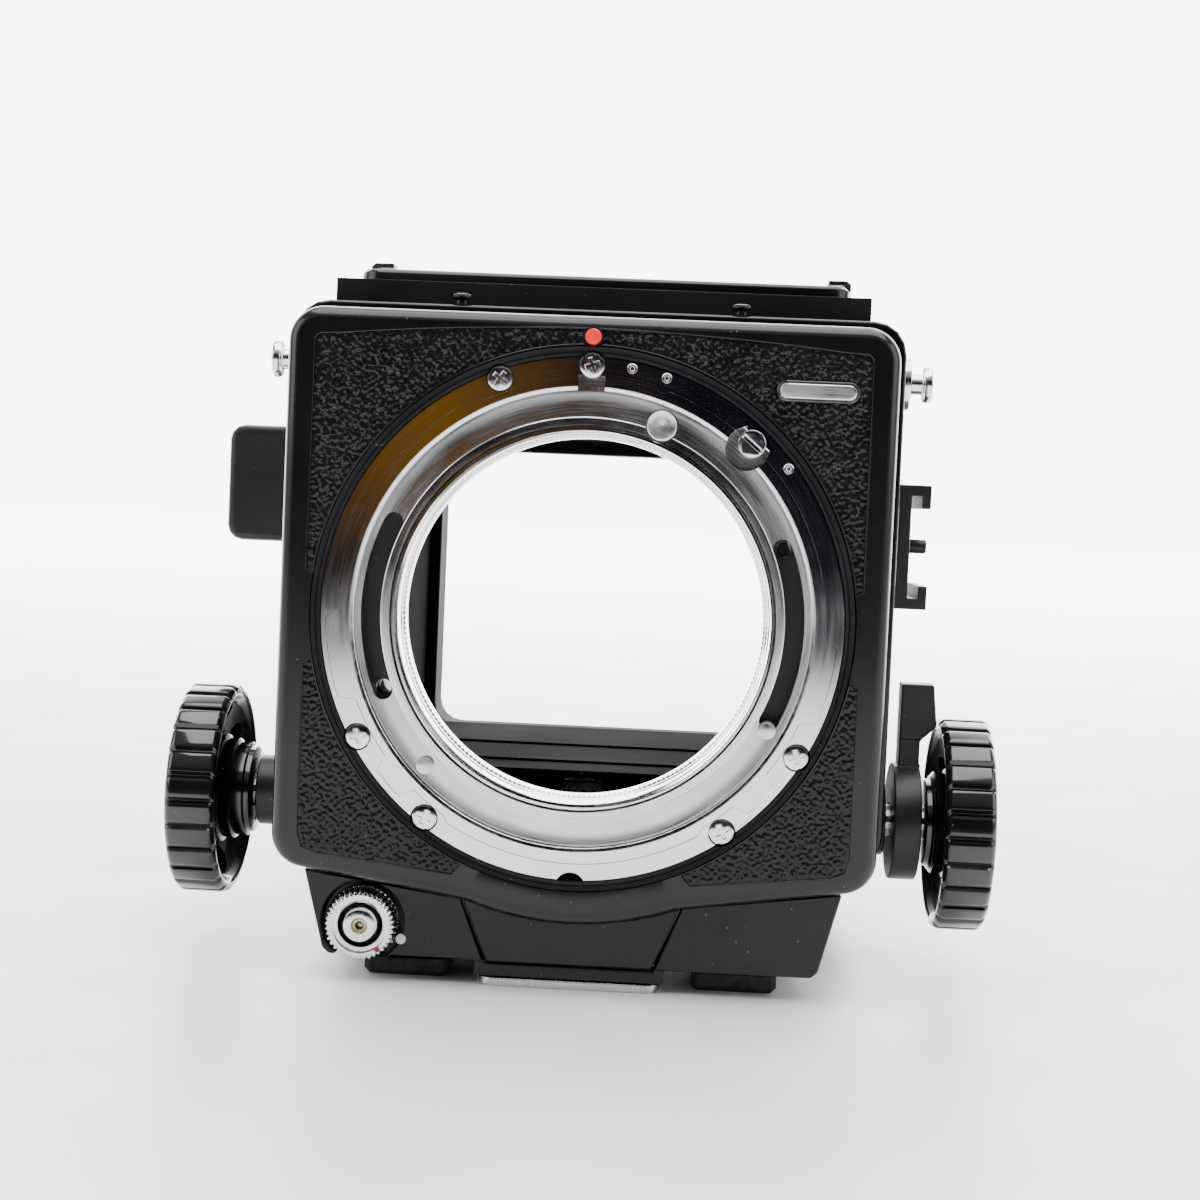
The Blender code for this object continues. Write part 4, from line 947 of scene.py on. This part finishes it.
def make_badge():
    """A plain bright badge, without lettering."""
    edge = rounded((31.2, 45.2), (38.4, 42.0), 1.75)
    plate = front_prism("badge_plate", [edge], (1.0, 1.9))
    finish(bevel(plate, 0.25, 3), "dark_steel", "front_standard")
    inner = rounded((31.75, 44.65), (38.9, 41.5), 1.25)
    face = front_prism("badge_face", [inner], (0.8, 1.7))
    finish(bevel(face, 0.3, 3), "badge_silver", "front_standard")


def make_bellows():
    """Folded flat between the standards, square with mitred corners."""
    front, rear = BELLOWS_FRONT, BELLOWS_REAR
    step = (rear - front) / (2 * BELLOWS_FOLDS)
    profile = [(43.8 - 2.3 * (i % 2), front + i * step) for i in range(2 * BELLOWS_FOLDS + 1)]
    shape = bmesh.new()
    rings = []
    for half, depth in profile:
        outline = rounded((-half, half), (3.4 - half, 3.4 + half), 2.6, 5)
        rings.append([shape.verts.new(at(x, depth, up)) for x, up in outline])
    for first, second in zip(rings, rings[1:]):
        for i in range(len(first)):
            j = (i + 1) % len(first)
            shape.faces.new((first[i], first[j], second[j], second[i]))
    bmesh.ops.recalc_face_normals(shape, faces=shape.faces)
    obj = add_object("look_bellows", mesh_from("look_bellows", shape))
    modifier = obj.modifiers.new("Cloth", "SOLIDIFY")
    modifier.thickness = 0.4 * MM
    smooth(settled(obj), 25)
    obj.data.materials.append(LOOKS["bellows_cloth"])
    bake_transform(obj)
    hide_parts("bellows")


def make_carriage():
    restyle("focus_carriage", "satin_black", "front_standard", 0.35)
    repaint("focus_rack", "steel")


# Main body

def make_shell():
    body = "main_body"
    restyle("front_frame", "gloss_black", body, 0.6, 4)
    restyle("side_cover_left", "satin_black", body, 0.4)
    restyle("side_cover_right", "satin_black", body, 0.4)
    restyle("top_deck", "satin_black", body, 0.3)
    restyle("rear_frame", "matte_black", body, 0.6, 4)


def make_side_leathers():
    """Leather panels on both sides; the left one has a hole for the cocking lever."""
    for side in (-1, 1):
        facing = SIDE_FACING if side > 0 else SIDE_FACING @ Matrix.Rotation(math.pi, 4, "Y")
        outline = rounded((52.0, 97.5), (-41.0, 37.0), 2.5, 6)
        if side < 0:
            outline = [(-depth, up) for depth, up in outline][::-1]
        matrix = Matrix.Translation(at(side * 55.0, 0, 0)) @ facing
        name = "side_leather_right" if side > 0 else "side_leather_left"
        sheet = leather(name, outline, matrix, 0.5, 0.2, 0.4)
        if side < 0:
            cut(sheet, cylinder("leather_bore", 9.4, at(-50, *COCKING_AXIS), at(-60, *COCKING_AXIS)))
        finish(smooth(sheet, 60), "leather", "main_body")


def make_mirror_box():
    restyle("mirror_box", "dull_black", "main_body", 0.2, 2)
    for i in range(2):
        depth = 40.0 + 26.0 * i
        rib = block(f"floor_baffle_{i + 1}", (-38.2, 38.2), (depth, depth + 4.0), (-29.4, -28.9), 0.2)
        finish(rib, "dull_black", "main_body")


def make_base():
    restyle("base_casting", "satin_black", "main_body", 0.35)
    profile = [(0, 6.75), (0.75, 6.8), (0.9, 6.95), (0.9, 7.4), (0, 7.4)]
    dot = peg("release_mark", profile, (-29.4, -57.4), 32)
    finish(dot, "cream", "main_body")


def make_underside():
    restyle("tripod_plate", "plate_steel", "main_body", 0.3)
    for node in ("foot_front_left", "foot_front_right", "foot_rear_left", "foot_rear_right"):
        restyle(node, "rubber", "main_body", 0.3)
    profile = []
    for i in range(5):
        low = -64.8 + 0.55 * i
        profile += [(4.7, low), (4.35, low + 0.27)]
    profile += [(4.7, -62.0), (5.15, -62.0), (5.15, -64.8)]
    matrix = Matrix.Translation(at(0, 34.0, 0))
    bush = turned("tripod_bush", profile, matrix, steps=64, angle=20)
    finish(bush, "steel", "main_body")
    screws(
        "plate_screw", [(x, depth, -64.97) for x in (-11, 11) for depth in (16, 90)], "bottom", 2.0,
        "main_body", "steel"
    )


def make_finder_seat():
    body = "main_body"
    restyle("finder_front_plate", "matte_black", body, 0.15, 2)
    for side, node in ((-1, "finder_post_left"), (1, "finder_post_right")):
        profile = [
            (0, 56.62), (1.2, 56.58), (1.55, 56.45), (1.75, 56.1), (1.75, 55.85), (1.5, 55.5), (1.1, 55.3),
            (1.1, 54.6), (0, 54.6)
        ]
        matrix = Matrix.Translation(at(side * 25.2, 25.5, 0))
        post = turned("look_" + node, profile, matrix, closed=False, steps=48)
        finish(post, "satin_black", body, [node])
    restyle("screen_frame", "gloss_black", body, 0.5, 4, 50)
    restyle("focusing_screen", "ground_glass", body, 0.2, 2)
    for node in ("finder_catch_left", "finder_catch_right"):
        restyle(node, "dark_steel", node, 0.15, 2)


def make_lugs():
    for side, node in ((-1, "strap_lug_left"), (1, "strap_lug_right")):
        profile = [
            (0, 60.85), (1.2, 60.85), (1.3, 60.7), (1.7, 60.7), (1.8, 60.88), (2.9, 60.9), (3.3, 60.75),
            (3.45, 60.4), (3.45, 59.8), (3.3, 59.4), (2.9, 59.2), (2.1, 59.15), (1.95, 59.0), (1.95, 56.9),
            (2.1, 56.8), (4.7, 56.75), (4.95, 56.6), (5.0, 56.3), (5.0, 55.3), (0, 55.3)
        ]
        lug = turned_on_x("look_" + node, profile, LUG_CENTRE, side, closed=False, steps=72)
        finish(lug, "chrome", "main_body", [node])


def make_shoe():
    restyle("accessory_shoe", "satin_black", "main_body", 0.25)
    screws("shoe_screw", [(57.92, 40, up) for up in (9.5, 19.3)], "right", 1.5, "main_body")


def make_rails():
    for node in ("guide_rail_left", "guide_rail_right"):
        repaint(node, "steel")
    for side, node in ((-1, "shaft_bush_left"), (1, "shaft_bush_right")):
        outer = 60.4 if side < 0 else 55.9
        profile = [
            (3.3, 50.3), (6.5, 50.3), (6.5, outer - 0.3), (6.2, outer), (3.6, outer), (3.3, outer - 0.3)
        ]
        bush = turned_on_x("look_" + node, profile, (SHAFT_DEPTH, SHAFT_UP), side, steps=72)
        finish(bush, "satin_black", "main_body", [node])


# Focusing drive

def knob_groove(phase):
    """Wide flat ribs with rounded shoulders and a narrow groove between them."""
    away = abs(phase - 0.5) * 2
    if away < 0.16:
        return 1.0 - 0.25 * away / 0.16
    if away < 0.34:
        return 0.75 * ((0.34 - away) / 0.18) ** 1.6
    return 0.0


def make_knobs():
    for side, node in ((-1, "focus_knob_left"), (1, "focus_knob_right")):
        deep = 0.85
        low, high = sorted((abs(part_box(node)[0].x), abs(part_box(node)[1].x)))
        near, far = (low / MM, high / MM) if side > 0 else (LEFT_HUB_INNER, high / MM)
        rim = KNOB_RIM_INNER
        profile = [
            (3.0, near), (7.6, near), (8.0, near + 0.2), (8.1, near + 1.0), (8.5, near + 1.1),
            (8.7, near + 1.3), (8.7, rim - 0.6), (9.1, rim - 0.5), (9.3, rim - 0.3), (9.3, rim + 1.6),
            (9.9, rim + 1.7), (10.1, rim + 1.9), (10.1, rim + 3.6), (10.5, rim + 3.9), (12.0, rim + 3.8),
            (16.2, rim + 1.9), (16.9, rim + 1.2), (17.2, rim + 0.6), (17.5, rim + 0.15), (18.0, rim),
            (18.7, rim + 0.15, 0.3), (19.15, rim + 0.5, 0.6), (19.4, rim + 0.9, deep),
            (KNOB_RADIUS, rim + 1.2, deep), (KNOB_RADIUS, far - 1.2, deep), (19.4, far - 0.9, deep),
            (19.15, far - 0.5, 0.6), (18.7, far - 0.15, 0.3), (18.0, far), (16.6, far), (16.3, far - 0.1),
            (16.0, far - 0.4), (14.2, far - 0.6), (14.0, far - 0.8), (6.4, far - 0.95), (6.2, far - 0.75),
            (5.8, far - 0.65), (1.7, far - 0.65), (1.5, far - 0.9), (0, far - 1.0)
        ]
        knob = turned_on_x(
            "look_" + node, profile, (SHAFT_DEPTH, SHAFT_UP), side, closed=False, steps=KNOB_RIBS * 14,
            teeth=KNOB_RIBS, tooth=knob_groove, angle=40
        )
        cutters = []
        for i in range(9):
            x, up = polar(13.9, 40 * i)
            depth, up = SHAFT_DEPTH + x, SHAFT_UP + up
            cutters.append(
                cylinder(
                    f"{node}_window_{i}", 2.1, at(side * 64, depth, up), at(side * (far - 2), depth, up),
                    32
                )
            )
        cut(knob, *cutters)
        finish(smooth(knob, 40), "knob_black", "focus_shaft", [node])


def make_drive():
    repaint("focus_shaft", "steel")
    repaint("focus_pinion", "steel")


def make_focus_lock():
    restyle("focus_lock_lever", "satin_black", "focus_lock", 0.35)


# Release and cocking

def make_release():
    centre = (RELEASE_X, RELEASE_UP)
    deep = 0.55
    profile = [
        (6.4, 9.7), (6.4, 8.2), (6.2, 7.95), (5.3, 7.9), (5.3, 7.75), (6.0, 7.7, deep), (6.35, 7.4, deep),
        (6.4, 7.1, deep), (6.4, 5.2, deep), (6.3, 4.8, deep), (6.0, 4.5, deep), (5.4, 4.35), (4.9, 4.3),
        (4.75, 4.35), (4.7, 4.75), (4.4, 4.8), (4.1, 4.75), (3.95, 4.9), (3.9, 9.7)
    ]
    collar = turned_on_lens(
        "look_release_collar", profile, centre, steps=COLLAR_TEETH * 8, teeth=COLLAR_TEETH,
        tooth=lambda phase: 1 - abs(phase - 0.5) * 2, angle=30
    )
    finish(collar, "chrome", "release_collar", ["release_collar"])
    x, up = polar(5.15, -52)
    dot = [(0, 4.22), (0.4, 4.24), (0.5, 4.3), (0.5, 4.8), (0, 4.8)]
    mark = peg("collar_mark", dot, (centre[0] + x, centre[1] + up), 24)
    finish(mark, "collar_red", "release_collar")
    profile = [
        (1.35, 3.75), (1.45, 3.6), (2.3, 3.6), (2.75, 3.75), (3.45, 5.2), (3.5, 5.4), (3.5, 6.0),
        (1.8, 6.0), (1.8, 19.9), (0, 19.9), (0, 6.2), (1.25, 6.2), (1.25, 4.0)
    ]
    button = turned_on_lens("look_release_button", profile, centre, steps=96)
    finish(button, "chrome", "release_button", ["release_button"])
    socket = [
        (0.75, 4.4), (0.8, 4.2), (1.15, 4.15), (1.24, 4.3), (1.24, 6.1), (0, 6.1), (0, 5.4), (0.75, 5.4)
    ]
    finish(peg("cable_socket", socket, centre), "brass", "release_button")
    head = screw("socket_screw", at(centre[0], 4.9, centre[1]), FACING["front"], 0.62, 0.5, 35, slotted=True)
    finish(head, "steel", "release_button")
    make_release_spring()


def make_release_spring():
    """The coil spring, a steel copy of the CAD part in its place."""
    spring = copy_of("release_spring")
    spring.data.materials.clear()
    spring.data.materials.append(LOOKS["steel"])
    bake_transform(spring)
    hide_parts("release_spring")


def make_cocking_lever():
    restyle("cocking_lever", "satin_black", "cocking_lever", 0.3)
    head = screw("cocking_screw", at(-60.95, *COCKING_AXIS), FACING["left"], 3.2, 0.6, 20, slotted=True)
    finish(head, "dark_steel", "cocking_lever")


def make_mirror():
    restyle("mirror_holder", "matte_black", "mirror", 0.2, 2)
    restyle("mirror_glass", "mirror", "mirror", 0.25, 2)
    restyle("capping_flap", "dull_black", "capping_flap", 0.2, 2)


def make_back():
    restyle("revolving_adapter", "matte_black", "revolving_back", 0.5, 4)
    for side in ("left", "right"):
        node = f"back_lock_slide_{side}"
        restyle(node, "dark_steel", f"back_lock_{side}", 0.3)
    spots = [(x, 112.52, up) for x in (-34, 34) for up in (-38, 38)]
    screws("adapter_screw", spots, "rear", 1.9, "revolving_back")
    spots = [(x, 104.0, up) for x in (-50.5, 50.5) for up in (-52, 49)]
    screws("frame_screw", spots, "rear", 1.9, "main_body")


# Studio

def make_floor():
    mesh = bpy.data.meshes.new("studio_floor")
    floor_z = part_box("tripod_plate")[0].z - 0.00002
    corners = [(-4, -1.6, floor_z), (4, -1.6, floor_z), (4, 6, floor_z), (-4, 6, floor_z)]
    mesh.from_pydata(corners, [], [(0, 1, 2, 3)])
    floor = add_object("studio_floor", mesh)
    # The floor's material holds painted shade and a painted glow: its colour is painted shade in front, and
    # it glows towards the back.
    tree, shader = new_look("floor_painted_shade_and_glow")
    spot = add_node(tree, "ShaderNodeTexCoord")
    apart = add_node(tree, "ShaderNodeSeparateXYZ", {0: spot.outputs["Object"]})
    # Painted shade: the white floor colour fades to near black on the floor in front of the body, so that
    # glossy edges reflect darkness there.
    floor_painted_shade = shade(tree, apart.outputs["Y"], (0.02, 0.02, 0.025), (0.86, 0.86, 0.87), 0.0, 1.0)
    ramp = floor_painted_shade.node
    ramp.color_ramp.interpolation = "EASE"
    near = spread(tree, apart.outputs["Y"], 0.0, 1.0, -0.95, -0.50)
    tree.links.new(near, ramp.inputs["Fac"])
    feed(tree, shader, floor_painted_shade, spread(tree, grain(tree, 30.0), 0.32, 0.42))
    # Painted glow: the floor gives off light that grows towards the back, standing in for the light falling
    # there and blending it into the backdrop.
    shader.inputs["Emission Color"].default_value = (1.0, 1.0, 1.0, 1)
    tree.links.new(spread(tree, apart.outputs["Y"], 0.0, 5.2, 0.1, 1.6), shader.inputs["Emission Strength"])
    mesh.materials.append(LOOKS["floor_painted_shade_and_glow"])


def make_world():
    """A bright backdrop behind the body, and in front of it a dark room with one warm lamp."""
    world = bpy.data.worlds.new("studio")
    bpy.context.scene.world = world
    world.use_nodes = True
    tree = world.node_tree
    background = tree.nodes["Background"]
    spot = add_node(tree, "ShaderNodeTexCoord").outputs["Generated"]
    apart = add_node(tree, "ShaderNodeSeparateXYZ", {0: spot})
    behind = spread(tree, apart.outputs["Y"], 1.0, 0.0, -0.85, -0.60)
    low = spread(tree, apart.outputs["Z"], 1.0, 0.0, 0.35, 0.60)
    dark = add_node(tree, "ShaderNodeMath", {0: behind, 1: low}, operation="MULTIPLY").outputs[0]
    room = add_node(tree, "ShaderNodeMix", {"Factor": dark}, data_type="RGBA")
    room.inputs[6].default_value = (1.0, 1.0, 1.0, 1)
    room.inputs[7].default_value = (0.012, 0.014, 0.024, 1)
    away = add_node(tree, "ShaderNodeVectorMath", {0: spot, 1: LAMP_DIRECTION}, operation="DISTANCE")
    lamp = spread(tree, away.outputs["Value"], 1.0, 0.0, 0.02, 0.085)
    lit = add_node(tree, "ShaderNodeMix", {"Factor": lamp}, data_type="RGBA")
    tree.links.new(room.outputs[2], lit.inputs[6])
    lit.inputs[7].default_value = (0.42, 0.19, 0.02, 1)
    tree.links.new(lit.outputs[2], background.inputs["Color"])
    ahead = spread(tree, apart.outputs["Y"], 0.45, 8.0, 0.35, 0.75)
    tree.links.new(ahead, background.inputs["Strength"])


def area_light(name, location, target, size, power, colour=(1, 1, 1)):
    light = bpy.data.lights.new(name, "AREA")
    light.shape = "RECTANGLE"
    light.size, light.size_y = size
    light.energy = power
    light.color = colour
    obj = bpy.data.objects.new(name, light)
    obj.location = location
    obj.rotation_euler = (Vector(target) - Vector(location)).to_track_quat("-Z", "Y").to_euler()
    bpy.context.scene.collection.objects.link(obj)


def make_lights():
    area_light("softbox_top", (0.05, -0.15, 0.95), (0, 0, 0.06), (1.1, 0.9), 19)
    area_light("softbox_left", (-0.95, -0.35, 0.45), (0, 0, 0.06), (0.7, 0.7), 5)
    area_light("softbox_right", (0.95, -0.30, 0.45), (0, 0, 0.06), (0.7, 0.7), 4)


def make_camera():
    """Looks at the mount from the front, a little from the right and above, and leans slightly."""
    camera = bpy.data.objects.new("photo_camera", bpy.data.cameras.new("photo_camera"))
    ahead = Vector((-0.0403, 1.0, -0.049)).normalized()
    level = ahead.cross(Vector((0, 0, 1))).normalized()
    above = level.cross(ahead)
    lean = math.radians(2.5)
    right = level * math.cos(lean) + above * math.sin(lean)
    up = above * math.cos(lean) - level * math.sin(lean)
    matrix = Matrix((right, up, -ahead)).transposed().to_4x4()
    matrix.translation = at(17.0, -346.0, 20.6)
    camera.matrix_world = matrix
    camera.data.lens = 61.59
    camera.data.sensor_width = 36.0
    camera.data.clip_start = 0.01
    bpy.context.scene.collection.objects.link(camera)
    bpy.context.scene.camera = camera


def main():
    make_looks()
    make_front_plate()
    make_leathers()
    make_badge()
    make_bezel()
    make_flange()
    make_rivets()
    make_fixed_pins()
    make_port()
    make_throat()
    make_mount_screws()
    make_cocking_ring()
    make_shutter_pin()
    make_bellows()
    make_carriage()
    make_shell()
    make_side_leathers()
    make_mirror_box()
    make_base()
    make_underside()
    make_finder_seat()
    make_lugs()
    make_shoe()
    make_rails()
    make_knobs()
    make_drive()
    make_focus_lock()
    make_release()
    make_cocking_lever()
    make_mirror()
    make_back()
    make_floor()
    make_world()
    make_lights()
    make_camera()


main()
